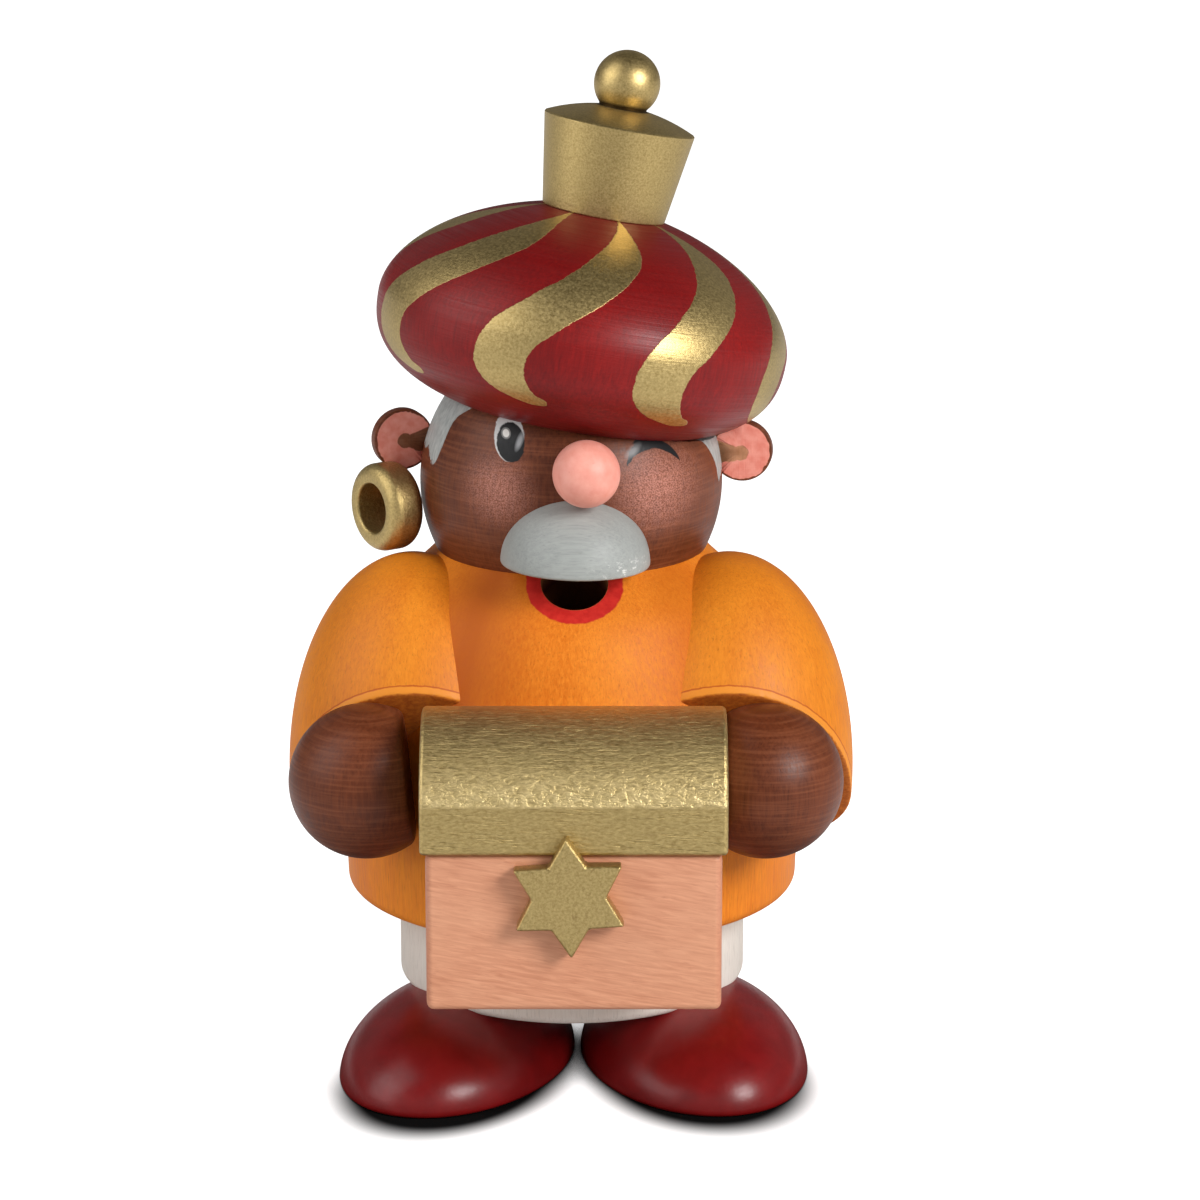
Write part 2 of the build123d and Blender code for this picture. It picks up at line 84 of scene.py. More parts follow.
def first_point(name, spot):
    """A new piece that is one single point, on the bench."""
    bpy.ops.object.select_all(action="DESELECT")
    bpy.ops.mesh.primitive_plane_add(size=mm)
    piece = bpy.context.object
    piece.name = name
    bench(piece, "EDIT")
    grab()
    bpy.ops.mesh.merge(type="CENTER")
    bpy.ops.transform.translate(value=spot)
    return piece


def weld():
    """Join the points that lie on each other."""
    grab()
    bpy.ops.mesh.remove_doubles(threshold=0.002 * mm)


def round_edges(piece, width, segments, angle=30.0, clamp=True):
    """Round every edge that turns by more than the angle; width in millimetres."""
    soft = piece.modifiers.new("rounded edges", "BEVEL")
    soft.width = width * mm
    soft.segments = segments
    soft.limit_method = "ANGLE"
    soft.angle_limit = math.radians(angle)
    soft.use_clamp_overlap = clamp
    bpy.ops.object.modifier_apply(modifier=soft.name)


# %% [markdown]
# ## A lathe
# A turner cuts an outline and the spinning wood does the rest. The Spin tool works the same way: a single
# point is drawn out into the outline, edge by edge, and the outline is spun round the upright axis. A stack
# of scaled circles would also do, but the outline shows the form of each piece in one short list.

# %% The lathe
def turn_piece(name, outline, sides=160, ring=False):
    """Spin an outline of (radius, height) points in millimetres round the upright axis."""
    piece = first_point(name, (outline[0][0] * mm, 0, outline[0][1] * mm))
    path = outline + outline[:1] if ring else outline
    for (radius, height), (next_radius, next_height) in zip(path, path[1:]):
        step = ((next_radius - radius) * mm, 0, (next_height - height) * mm)
        bpy.ops.mesh.extrude_vertices_move(TRANSFORM_OT_translate={"value": step})
    weld()
    grab()
    bpy.ops.mesh.spin(steps=sides, angle=2 * math.pi, center=(0, 0, 0), axis=(0, 0, 1))
    weld()
    bpy.ops.mesh.normals_make_consistent(inside=False)
    bench(piece, "OBJECT")
    return piece


def bow(middle, size, start, finish, steps=12):
    """Points on part of an ellipse: middle, (wide, high) half sizes, and two angles in degrees."""
    points = []
    for number in range(steps + 1):
        angle = math.radians(start + (finish - start) * number / steps)
        points.append((middle[0] + size[0] * math.cos(angle), middle[1] + size[1] * math.sin(angle)))
    return points


# %% [markdown]
# ## Saw, gouge and glue
# After the lathe a maker saws flats, hollows one piece to fit another, and glues them up. Bisect is the
# saw: it cuts on a plane and closes the wound. A Boolean is the gouge: the neighbour's own form is taken
# away, so the two meet without a gap. Placing a piece uses one matrix, written as turns about X and Y.

# %% Saw, gouge, place and finish
def saw(piece, spot, facing):
    """Cut on a plane through spot; the side that facing points to falls away."""
    bench(piece, "EDIT")
    grab()
    bpy.ops.mesh.bisect(plane_co=Vector(spot) * mm, plane_no=facing, use_fill=True, clear_outer=True)
    bench(piece, "OBJECT")


def gouge(piece, *neighbours):
    """Hollow the piece where the neighbours are."""
    for neighbour in neighbours:
        cut = piece.modifiers.new("gouge", "BOOLEAN")
        cut.object = neighbour
        cut.operation = "DIFFERENCE"
        cut.solver = "EXACT"
        alone(piece)
        bpy.ops.object.modifier_apply(modifier=cut.name)


def turned(degrees, axis):
    """A turn about one axis."""
    return Matrix.Rotation(math.radians(degrees), 4, axis)


def set_down(piece, spot, turn):
    """Turn the piece, move it to a spot in millimetres, and keep that as its form."""
    piece.matrix_world = Matrix.Translation(Vector(spot) * mm) @ turn
    alone(piece)
    bpy.ops.object.transform_apply(location=True, rotation=True, scale=True)


def place(piece, spot, tip_x=0.0, tip_y=0.0, tip_z=0.0):
    """Tip the piece about X, then its own Y and Z, and move it to a spot in millimetres."""
    set_down(piece, spot, turned(tip_x, "X") @ turned(tip_y, "Y") @ turned(tip_z, "Z"))


def sand(piece, crease=32.0):
    """Smooth shading that keeps true edges, with flat faces left flat."""
    alone(piece)
    bpy.ops.object.shade_smooth_by_angle(angle=math.radians(crease))
    even = piece.modifiers.new("even shading", "WEIGHTED_NORMAL")
    even.keep_sharp = True
    even.weight = 80
    bpy.ops.object.modifier_apply(modifier=even.name)


def glue(piece, node, body, finish):
    """Move the piece onto the turning axis, give it its finish, and let it stand for its CAD node."""
    place(piece, axis_spot / mm)
    piece.data.materials.clear()
    piece.data.materials.append(finish)
    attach(piece, body)
    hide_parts(node)
    print(piece.name, "on", body, len(piece.data.polygons), "faces")


tools = []


def jig(name, outline):
    """A turned form that only shapes other pieces, and is thrown away at the end."""
    form = turn_piece(name, outline)
    tools.append(form)
    return form


def cast(piece):
    """A copy of a finished form, kept as a tool that shapes its neighbours."""
    form = piece.copy()
    form.data = piece.data.copy()
    bpy.context.collection.objects.link(form)
    tools.append(form)
    return form


# %% [markdown]
# ## Mixing finishes
# Every finish is a node tree under one Principled shader. Pattern values are fields that add, multiply and
# compare like numbers; one helper stretches a range and one mixes two colours. All patterns read Object
# coordinates, which are real metres here, so a 0.5 mm fibre is 0.5 mm on every piece.

# %% Helpers for finishes
class Field:
    """A value that differs from spot to spot: one output of a node, with plain arithmetic."""

    def __init__(self, socket):
        self.socket = socket

    def __add__(self, other):
        return sum_up("ADD", self, other)

    def __sub__(self, other):
        return sum_up("SUBTRACT", self, other)

    def __rsub__(self, other):
        return sum_up("SUBTRACT", other, self)

    def __mul__(self, other):
        return sum_up("MULTIPLY", self, other)

    def __truediv__(self, other):
        return sum_up("DIVIDE", self, other)

    def __gt__(self, other):
        return sum_up("GREATER_THAN", self, other)

    def __lt__(self, other):
        return sum_up("LESS_THAN", self, other)

    def __abs__(self):
        return sum_up("ABSOLUTE", self)


def new_finish(name, roughness=0.5, coat=0.0, coat_roughness=0.2):
    """A material with a Principled shader; the helpers below then work in its tree."""
    global tree
    finish = bpy.data.materials.new(name)
    finish.use_nodes = True
    tree = finish.node_tree
    shader = tree.nodes["Principled BSDF"]
    shader.inputs["Roughness"].default_value = roughness
    shader.inputs["Coat Weight"].default_value = coat
    shader.inputs["Coat Roughness"].default_value = coat_roughness
    return finish, shader


def feed(value, socket):
    """Wire a field into a socket, or set a plain value there."""
    if isinstance(value, Field):
        tree.links.new(value.socket, socket)
    else:
        socket.default_value = value


def add(kind, inputs=None, **settings):
    """Add one node with its settings, and feed its inputs."""
    made = tree.nodes.new("ShaderNode" + kind)
    for key, value in settings.items():
        setattr(made, key, value)
    for key, value in (inputs or {}).items():
        feed(value, made.inputs[key])
    return made


def sum_up(operation, *values):
    """One Math node."""
    return Field(add("Math", dict(enumerate(values)), operation=operation).outputs[0])


def hypot(one, other):
    """The distance from zero of two lengths at right angles."""
    return sum_up("SQRT", one * one + other * other)


def bearing(x, y):
    """Degrees round the upright axis, with zero in front."""
    return sum_up("DEGREES", sum_up("ARCTAN2", x, y * -1.0))


def stretch(value, low, high, to_low=0.0, to_high=1.0, kind="LINEAR"):
    """Map a range onto another, without leaving it."""
    inputs = {"Value": value, "From Min": low, "From Max": high, "To Min": to_low, "To Max": to_high}
    return Field(add("MapRange", inputs, interpolation_type=kind).outputs["Result"])


def tint(share, first, second):
    """Mix two colours, given as fields or as (r, g, b)."""
    mixer = add("Mix", {0: share}, data_type="RGBA")
    for slot_number, colour in ((6, first), (7, second)):
        feed(colour if isinstance(colour, Field) else (*colour, 1.0), mixer.inputs[slot_number])
    return Field(mixer.outputs[2])


def wood_place(spot=(0, 0, 0), tip=(0, 0, 0), size=1):
    """Object coordinates as seen from a spot (mm, round the turning axis), untipped, then scaled."""
    where = Field(add("TexCoord").outputs["Object"])
    away = {0: where, 1: Vector(spot) * mm + axis_spot}
    where = Field(add("VectorMath", away, operation="SUBTRACT").outputs[0])
    if any(tip):
        back = {"Vector": where, "Rotation": [math.radians(a) for a in tip]}
        where = Field(add("VectorRotate", back, rotation_type="EULER_XYZ", invert=True).outputs[0])
    if size == 1:
        return where
    sizes = size if isinstance(size, tuple) else (size,) * 3
    return Field(add("VectorMath", {0: where, 1: sizes}, operation="MULTIPLY").outputs[0])


def speckle_at(where, detail=3.0, rough=0.55, warp=0.0):
    """Noise between 0 and 1 over a place that is scaled already."""
    inputs = {"Vector": where, "Scale": 1.0, "Detail": detail, "Roughness": rough, "Distortion": warp}
    return Field(add("TexNoise", inputs).outputs["Fac"])


def speckle(size, *looks):
    """Noise between 0 and 1, with so many grains to the metre."""
    return speckle_at(wood_place(size=size), *looks)


def relief(shader, height, depth, strength):
    """Turn a height pattern into a bump of a real depth in millimetres."""
    bump = add("Bump", {"Height": height, "Distance": depth * mm, "Strength": strength})
    feed(Field(bump.outputs[0]), shader.inputs["Normal"])


def split(where):
    """The three coordinates of a place."""
    return [Field(part) for part in add("SeparateXYZ", {0: where}).outputs]


# %% [markdown]
# ## Stained wood
# The figure is turned from a pale, close-grained wood and stained, not painted over: the fibre shows
# through as fine upright streaks, the tool leaves faint level rings, and the stain takes a little deeper
# here and there. The recipe has those three layers. An image of wood would repeat and blur; noise at the
# fibre's own width stays sharp from any side.

# %% Stained wood
def stain(shader, pale, deep, spot=(0, 0, 0), tip=(0, 0, 0), rings=0.25, fibre=1.0, gloss=(0.42, 0.58)):
    """Wood fibre along the local Z, tool rings round it, and cloudy take-up of the stain."""
    fibres = speckle_at(wood_place(spot, tip, (2400, 2400, 150)), 4.0, 0.62, 0.4)
    pores = speckle_at(wood_place(spot, tip, (5200, 5200, 420)), 2.0, 0.5)
    clouds = speckle_at(wood_place(spot, tip, (70, 70, 32)), 3.0, 0.55, 0.6)
    tool = speckle_at(wood_place(spot, tip, (30, 30, 3600)), 2.0, 0.5)
    cloudy = stretch(clouds, 0.32, 0.68)
    streaky = stretch(fibres, 0.30, 0.72)
    share = cloudy * 0.42 + streaky * 0.58
    colour = tint(share, deep, pale)
    dark_pores = stretch(pores, 0.56, 0.74, 0.0, 0.35 * fibre)
    colour = tint(dark_pores, colour, tuple(c * 0.45 for c in deep))
    height = fibres * fibre + tool * (rings * 2)
    height = height - dark_pores * 1.2
    shader.inputs["Specular IOR Level"].default_value = 0.26
    rough = stretch(fibres, 0.3, 0.7, gloss[0], gloss[1])
    feed(rough, shader.inputs["Roughness"])
    return colour, height


def paint_on(shader, colour):
    """Wire the finished colour into the shader."""
    feed(colour, shader.inputs["Base Color"])


# %% [markdown]
# ## Trousers, dish and incense
# The trousers are one turned block. What shows is a plain cream drum with a rounded foot; above it, inside
# the robe, stand the spigot and the recess that holds a pressed tin dish. The whole outline is turned in
# one go, and the air hole that feeds the ember is drilled with a Boolean.

# %% Trousers
block = [(0, 10.7)] + [(x, z) for x, z in bow((25.4, 12.2), (1.5, 1.5), -90, 0, 6)]
block += [(26.9, 25.4), (26.5, 25.8), (18.5, 25.8)]
block += bow((17.5, 37.0), (1.0, 1.0), 0, 90, 5) + [(12.28, 38.0), (12.28, 35.4), (0, 35.4)]
trousers = turn_piece("trousers_block", block)
air_drill = jig("air_drill", [(0, 0), (1.7, 0), (1.7, 50), (0, 50)])
place(air_drill, (0, 15.4, 0))
gouge(trousers, air_drill)
sand(trousers)

cream_stain, shader = new_finish("cream_stain", 0.6)
colour, height = stain(shader, (0.84, 0.79, 0.72), (0.74, 0.67, 0.59), rings=0.15, gloss=(0.5, 0.66))
high = split(wood_place())[2]
scorched = stretch(high, 0.0262, 0.0300, 0.0, 0.55, "SMOOTHSTEP")
colour = tint(scorched, colour, (0.30, 0.19, 0.11))
paint_on(shader, colour)
relief(shader, height, 0.05, 0.5)
glue(trousers, "trousers", "base", cream_stain)

# %% [markdown]
# The dish is pressed from thin tin plate, with a narrow rim that lies on the spigot. Its outline is a
# closed ring of thickness 0.5 mm, spun once. The sheet has a soft drawn lustre and brown smoke stains.

# %% Incense dish
sheet = [(0, 35.4), (11.4, 35.4)] + bow((11.4, 36.2), (0.8, 0.8), -90, 0, 4) + [(12.2, 37.8)]
sheet += [(12.4, 38.0), (13.8, 38.0), (13.8, 38.5), (12.0, 38.5), (11.7, 38.2), (11.7, 36.3)]
sheet += [(11.3, 35.95), (10.9, 35.9), (0, 35.9)]
dish = turn_piece("tin_dish", sheet)
sand(dish)
tin_plate, shader = new_finish("tin_plate", 0.34)
shader.inputs["Metallic"].default_value = 1.0
turning_marks = speckle((160, 160, 5000), 3.0)
smoke = speckle(260, 4.0, 0.6, 0.8)
paint_on(shader, tint(stretch(smoke, 0.42, 0.66, 0.0, 0.8), (0.60, 0.59, 0.56), (0.23, 0.15, 0.09)))
feed(stretch(smoke, 0.35, 0.7, 0.26, 0.62), shader.inputs["Roughness"])
relief(shader, turning_marks, 0.02, 0.4)
glue(dish, "incense_dish", "dish", tin_plate)

# %% [markdown]
# The incense cone is pressed from powder: a blunt dark cone with crumbly skin and a worn foot.

# %% Incense cone
cone_outline = [(0, 35.9), (5.7, 35.9), (6.0, 36.3), (1.15, 58.3), (0.8, 58.75), (0, 58.9)]
cone = turn_piece("incense_cone_pressed", cone_outline, 64)
sand(cone)
incense_powder, shader = new_finish("incense_powder", 0.92)
crumbs = speckle(1500, 5.0, 0.7)
paint_on(shader, tint(stretch(crumbs, 0.35, 0.7), (0.030, 0.024, 0.020), (0.115, 0.090, 0.070)))
relief(shader, crumbs, 0.25, 0.8)
glue(cone, "incense_cone", "incense", incense_powder)

# %% [markdown]
# ## Shoes
# Each shoe is half an egg on its flat. One outline with a slightly rounded sole edge is turned, stretched to
# an oval, turned out at the toe and hollowed where the trousers stand in it. Real shoes of this kind are
# dipped in a thick red lacquer, so they are glossier than the rest, and the coat hides most of the fibre.

# %% Shoes
def shoe(name, spot, toe_out):
    """Half an egg, 34 mm wide, 52 mm long and 12.5 mm high."""
    sole = [(0, 0), (16.55, 0)] + bow((16.5, 0.5), (0.46, 0.5), -90, 0, 5)
    upper = [(17 * math.cos(a), 12.5 * math.sin(a))
             for a in [math.radians(3 + 87 * n / 40) for n in range(41)]]
    last = turn_piece(name, sole + [(x, z) for x, z in upper if z > 0.62])
    last.scale = (1, 52 / 34, 1)
    alone(last)
    bpy.ops.object.transform_apply(scale=True)
    place(last, spot, tip_z=toe_out)
    return last


leg = jig("leg_form", [(0, 10.7)] + bow((25.4, 12.2), (1.5, 1.5), -90, 0, 6) + [(26.9, 30), (0, 30)])
red_lacquer, shader = new_finish("red_lacquer", 0.38)
runs = speckle(190, 3.0, 0.5, 0.5)
fine = speckle((2600, 420, 2600), 3.0, 0.6)
paint_on(shader, tint(stretch(runs, 0.3, 0.7), (0.165, 0.0035, 0.0040), (0.225, 0.0060, 0.0065)))
feed(stretch(fine, 0.3, 0.7, 0.28, 0.36), shader.inputs["Roughness"])
shader.inputs["Specular IOR Level"].default_value = 0.4
ripple = speckle(900, 2.0)
height = fine + ripple * 2.0
relief(shader, height, 0.012, 0.5)
shoe_places = {"shoe_right": ((-17.6, -12.9, 0), -18.0), "shoe_left": ((18.9, -11.9, 0), 13.0)}
for name, (spot, toe_out) in shoe_places.items():
    last = shoe(name + "_lacquered", spot, toe_out)
    gouge(last, leg)
    sand(last)
    glue(last, name, "base", red_lacquer)

# %% [markdown]
# ## Robe
# The robe is a bell with a thick wall: its outline runs up the smoke chamber, over the hem and up the
# outside to the neck. The curve of the bell passes through six measured points; a Catmull-Rom curve joins
# them, because it goes exactly through each one. The mouth is drilled on a slope from the front into the
# chamber, as on the real figure, so that smoke rises out of it.

# %% The bell's outline
def flowing(points, steps=10):
    """A smooth run through all the points."""
    padded = [points[0]] + points + [(2 * points[-1][0] - points[-2][0], 2 * points[-1][1] - points[-2][1])]
    run = []
    for before, start, end, after in zip(padded, padded[1:], padded[2:], padded[3:]):
        for number in range(steps):
            t = number / steps
            run.append(tuple(0.5 * (2 * s + (e - b) * t + (2 * b - 5 * s + 4 * e - a) * t * t
                                    + (3 * s - b - 3 * e + a) * t * t * t)
                             for b, s, e, a in zip(before, start, end, after)))
    return run + [points[-1]]


hem = bow((32.9, 27.8), (2.0, 2.0), -90, 0, 8)
bell = flowing([(34.9, 27.8), (35.18, 40.3), (34.06, 52.1), (31.58, 62.3), (27.15, 72.5), (20.6, 79.5)])
print("bell outline:", len(bell), "points")

# %% [markdown]
# ## The robe
# One turned bell, bored out from below as a smoke chamber and closed at the top. The mouth is a 10 mm drill
# hole that rises to the front at 50 degrees and meets the chamber, so the smoke finds its way out. The bell
# is turned first and drilled after, with a piece in the shape of the drill as the cutter.

# %% Robe
chamber = [(0, 67.5), (18.8, 67.5), (18.8, 26.1), (19.1, 25.8)]
robe = turn_piece("robe_bell", chamber + hem + bell[1:] + [(0, 79.5)], 200)
mouth_spot = Vector((0.6, -21.4, 79.0))
mouth_way = Vector((0, -math.cos(math.radians(50)), math.sin(math.radians(50))))
mouth_drill = jig("mouth_drill", [(0, -17), (5, -17), (5, 6), (0, 6)])
place(mouth_drill, mouth_spot, tip_x=40)
gouge(robe, mouth_drill)
sand(robe)

# %% [markdown]
# ## The robe's finish
# Orange stain, a red ring painted by hand round the mouth, and wood darkened by smoke inside. Beside the arms
# the front is painted deeper orange, as painted shade between robe and sleeves. The ring is measured as
# distance from the drill's axis, so it stays round on the curved chest; a little noise gives it the edge of a
# brush line.

# %% Orange stain with a painted mouth
def away_from_line(where, way):
    """Distance from a line through the origin, and the distance along it, both in metres."""
    along = Field(add("VectorMath", {0: where, 1: way}, operation="DOT_PRODUCT").outputs["Value"])
    foot = Field(add("VectorMath", {0: way, "Scale": along}, operation="SCALE").outputs[0])
    gap = Field(add("VectorMath", {0: where, 1: foot}, operation="SUBTRACT").outputs[0])
    return Field(add("VectorMath", {0: gap}, operation="LENGTH").outputs["Value"]), along


orange_pale = (0.90, 0.300, 0.024)
orange_deep = (0.64, 0.138, 0.006)
orange_stain, shader = new_finish("orange_stain", 0.5)
colour, height = stain(shader, orange_pale, orange_deep, rings=0.3)
shader.inputs["Specular IOR Level"].default_value = 0.16
x, y, z = split(wood_place())
round_robe = abs(bearing(x, y))
# Painted shade beside the arms: the robe's front is painted deeper orange from about 46 mm up, starting
# nearer the middle on the figure's right side.
arm_shade_start = stretch(x, -0.004, 0.004, 8, 26)
painted_arm_shade = stretch(round_robe - arm_shade_start, 0.0, 22.0, 0.0, 0.9)
painted_arm_shade = painted_arm_shade * stretch(round_robe, 34.0, 62.0, 1.0, 0.0)
painted_arm_shade = painted_arm_shade * stretch(z, 0.036, 0.046)
colour = tint(painted_arm_shade, colour, (0.48, 0.095, 0.002))
away, along = away_from_line(wood_place(mouth_spot), mouth_way)
brush = speckle(900, 2.0)
wobble = away + stretch(brush, 0.3, 0.7, -0.00012, 0.00012)
near_skin = along > -0.0062
ring_mark = stretch(wobble, 0.00715, 0.00735, 1.0, 0.0) * near_skin
red_ring = tint(stretch(brush, 0.35, 0.65), (0.50, 0.016, 0.012), (0.60, 0.026, 0.018))
colour = tint(ring_mark, colour, red_ring)
# The drilled bore is painted from brown wood near the skin to almost black deeper in.
bore_mark = stretch(away, 0.00499, 0.00505, 1.0, 0.0)
bore_darkening = stretch(along, -0.0062, -0.0005, 1.0, 0.0)
bore_colour = tint(bore_darkening, (0.33, 0.17, 0.055), (0.020, 0.013, 0.009))
colour = tint(bore_mark, colour, bore_colour)
from_axis = hypot(x, y)
chamber_wide, chamber_high = 0.01885, 0.0676
inside = (from_axis < chamber_wide) * (z < chamber_high)
colour = tint(inside, colour, (0.075, 0.040, 0.020))
paint_on(shader, colour)
relief(shader, height, 0.035, 0.5)
glue(robe, "robe", "figure", orange_stain)

# %% [markdown]
# ## Arms
# An arm is a turned egg that leans back, hollowed to the robe and sawn off at the wrist. The saw runs
# across the turning, so an outline can't hold the softened edge there. A voxel remesh at 0.3 mm followed by
# a few smoothing passes does what sandpaper does: it takes every sharp edge off by about half a
# millimetre. The hollow for the robe is cut after that, because that line stays crisp on the real figure.

# %% Arms
arm_wide, arm_long, arm_foot, arm_round = 19.6, 33.4, -9.0, 6.0


def egg_outline():
    """Half an egg with its foot cut off 9 mm below the middle and rounded."""
    angle = math.radians(-20)
    while True:
        point = Vector((arm_wide * math.cos(angle), arm_long * math.sin(angle)))
        outwards = Vector((math.cos(angle) / arm_wide, math.sin(angle) / arm_long)).normalized()
        centre = point - outwards * arm_round
        if centre.y > arm_foot + arm_round:
            break
        angle += math.radians(0.1)
    top = math.degrees(math.atan2(outwards.y, outwards.x))
    foot = [(0, arm_foot)] + bow(centre, (arm_round, arm_round), -90, top, 10)
    steps = [math.degrees(angle) + (90 - math.degrees(angle)) * n / 60 for n in range(1, 61)]
    return foot + [(arm_wide * math.cos(math.radians(a)), arm_long * math.sin(math.radians(a)))
                   for a in steps]


wrist_spot = Vector((0, -26.0, 60.0))
wrist_way = Vector((0, -math.cos(math.radians(32)), -math.sin(math.radians(32))))
belly_form = jig("belly_form", [(0, 0), (34.9, 0), (34.9, 27.8)] + bell[1:] + [(0, 79.5)])
head_size, head_high, neck_high = 23.1, 89.8, 79.5
head_form = jig("head_form", [(0, 66.7)] + bow((0, head_high), (head_size, head_size), -89, 89, 90)
                + [(0, 112.9)])


def sandpaper(piece, voxel=0.3, passes=5):
    """Even out the mesh and take off the sharp edges."""
    remesh = piece.modifiers.new("even mesh", "REMESH")
    remesh.mode = "VOXEL"
    remesh.voxel_size = voxel * mm
    alone(piece)
    bpy.ops.object.modifier_apply(modifier=remesh.name)
    smooth = piece.modifiers.new("sandpaper", "SMOOTH")
    smooth.factor = 0.5
    smooth.iterations = passes
    bpy.ops.object.modifier_apply(modifier=smooth.name)


arms = {}
for name, side in (("arm_right", -1), ("arm_left", 1)):
    arm = turn_piece(name + "_egg", egg_outline(), 128)
    place(arm, (side * 23.3, -13.4, 47.2), tip_x=-15, tip_y=side * 2)
    saw(arm, wrist_spot, wrist_way)
    sandpaper(arm)
    gouge(arm, belly_form, head_form)
    sand(arm, 40)
    arms[name] = arm

# %% [markdown]
# The sleeve has one extra mark: a fine brown line scribed a millimetre behind the sawn edge. In front of it
# the rim is painted paler, a painted highlight on the rounded edge, and the sawn face is painted darker, as
# end grain and as painted shade. All three are slices of one measure, the distance behind the saw plane.

# %% Orange stain with a scribed cuff
sleeve_stain, shader = new_finish("sleeve_stain", 0.5)
colour, height = stain(shader, (0.85, 0.285, 0.018), (0.62, 0.150, 0.006), (0, -13.4, 47.2), (-15, 0, 0),
                       0.2)
behind = Field(add("VectorMath", {0: wood_place(wrist_spot), 1: wrist_way},
                   operation="DOT_PRODUCT").outputs["Value"])
shake = speckle(700, 3.0)
behind = behind + stretch(shake, 0.3, 0.7, -0.00007, 0.00007)
# Painted highlight: the rim in front of the scribed line is painted paler, as light on the rounded edge.
rim = stretch(behind, -0.00115, -0.00095)
scribe = stretch(abs(behind + 0.00112), 0.00004, 0.00016, 0.75, 0.0)
# The sawn face is painted darker: end grain, and painted shade on a face that looks forward and down.
sawn_face_grain_and_shade = stretch(behind, -0.00022, -0.00006)
end_grain = speckle_at(wood_place((0, -13.4, 47.2), (-15, 0, 0), (1300, 500, 2500)), 4.0, 0.65)
end_grain_and_shade_colour = tint(stretch(end_grain, 0.35, 0.65), (0.36, 0.080, 0.009), (0.54, 0.150, 0.018))
colour = tint(rim, colour, (0.80, 0.275, 0.026))
colour = tint(scribe, colour, (0.42, 0.055, 0.006))
colour = tint(sawn_face_grain_and_shade, colour, end_grain_and_shade_colour)
paint_on(shader, colour)
relief(shader, height - scribe * 1.5, 0.035, 0.5)
for name, arm in arms.items():
    glue(arm, name, "figure", sleeve_stain)

# %% [markdown]
# ## Hands
# A hand is a turned ball with one flat towards the chest and one on the sleeve. The first flat shows, so the
# ball is turned about that flat's own axis with a softened rim in the outline; the second is a saw cut that
# the sleeve hides.

# %% Hands
def hand(name, side, spot, flat, tilt):
    """Ball of 23.2 mm with a flat towards the chest."""
    size = 11.6
    rim = math.degrees(math.asin(flat / size))
    outline = [(0, -size)] + bow((0, 0), (size, size), -89, rim - 3.2, 60)
    edge = size * math.cos(math.radians(rim))
    outline += [(edge - 0.10, flat - 0.16), (edge - 0.45, flat - 0.02), (edge - 0.8, flat), (0, flat)]
    ball = turn_piece(name, outline, 128)
    place(ball, spot, tip_y=-side * (90 - tilt))
    saw(ball, wrist_spot, -wrist_way)
    gouge(ball, belly_form)
    sand(ball)
    return ball


def brown_wood(name, spot, pale=(0.220, 0.058, 0.020), deep=(0.070, 0.015, 0.005)):
    """Dark brown stain with a cross-hatch of fibres and tool rings."""
    finish, shader = new_finish(name, 0.4)
    colour, height = stain(shader, pale, deep, spot, rings=0.35, gloss=(0.34, 0.50))
    hatch = speckle_at(wood_place(spot, size=(90, 90, 2600)), 2.0)
    colour = tint(stretch(hatch, 0.45, 0.68, 0.0, 0.34), colour, (0.30, 0.095, 0.040))
    return finish, shader, colour, height


hand_finish, shader, colour, height = brown_wood("brown_stain_hands", (0, -29.5, 50.4),
                                                 (0.185, 0.044, 0.014), (0.060, 0.012, 0.004))
paint_on(shader, colour)
relief(shader, height, 0.03, 0.5)
right_hand = hand("hand_right_ball", -1, (-30.3, -29.5, 50.4), 6.3, 6.0)
left_hand = hand("hand_left_ball", 1, (29.0, -29.5, 50.4), 5.9, 0.0)
for ball, name in ((right_hand, "hand_right"), (left_hand, "hand_left")):
    glue(ball, name, "figure", hand_finish)

# %% [markdown]
# ## Turban
# The turban is a flat turned ball on its own leaning axis, fuller below than above. A swelling of 2 would be
# an ellipse; less is more pointed, more is fuller. It is turned upright, hollowed underneath for the head,
# and then leans.

# %% Turban
hat_spot = Vector((1.8, 0, 113.7))
hat_tip = (-3.4, 10.4)


def swelling(wide, high, swell, steps=40):
    """Quarter outline from the widest circle to the axis."""
    quarter = [math.radians(90 * n / steps) for n in range(steps + 1)]
    return [(wide * math.cos(a) ** (2 / swell) if a < 1.5707 else 0, high * math.sin(a) ** (2 / swell))
            for a in quarter]


turban_wide, turban_above, turban_below, crown_foot = 31.4, 18.3, 15.6, 17.2
above = [(x, z) for x, z in swelling(turban_wide, turban_above, 1.83) if z < crown_foot]
below = swelling(turban_wide, -turban_below, 2.56)[::-1]
turban = turn_piece("turban_ball", below + above[1:] + [(9.0, crown_foot), (0, crown_foot)], 200)
place(turban, hat_spot, *hat_tip)
gouge(turban, head_form)
sand(turban)
turban_form = cast(turban)

# %% [markdown]
# ## Gold bronze
# The gold is bronze powder in varnish, brushed on: it shines like metal but softly, in grains, and thin
# places show brown. The recipe makes a grainy, half rough metal with brown specks. On bare wood such as the
# chest lid the brush and the fibre stand out far more, so the depth and the stretch of the grain are given.

# %% Gold bronze
bronze_metal = 0.92


def gold_coat(where_fine, where_long, specks=0.5):
    """Colour, roughness and height of brushed bronze."""
    fine = speckle_at(where_fine, 4.0, 0.65)
    long = speckle_at(where_long, 4.0, 0.6, 0.3)
    colour = tint(stretch(fine, 0.32, 0.68), (0.40, 0.285, 0.105), (0.62, 0.47, 0.205))
    colour = tint(stretch(long, 0.58, 0.75, 0.0, specks), colour, (0.235, 0.140, 0.050))
    rough = stretch(fine, 0.3, 0.7, 0.34, 0.50)
    height = fine + long * 1.5
    return colour, rough, height


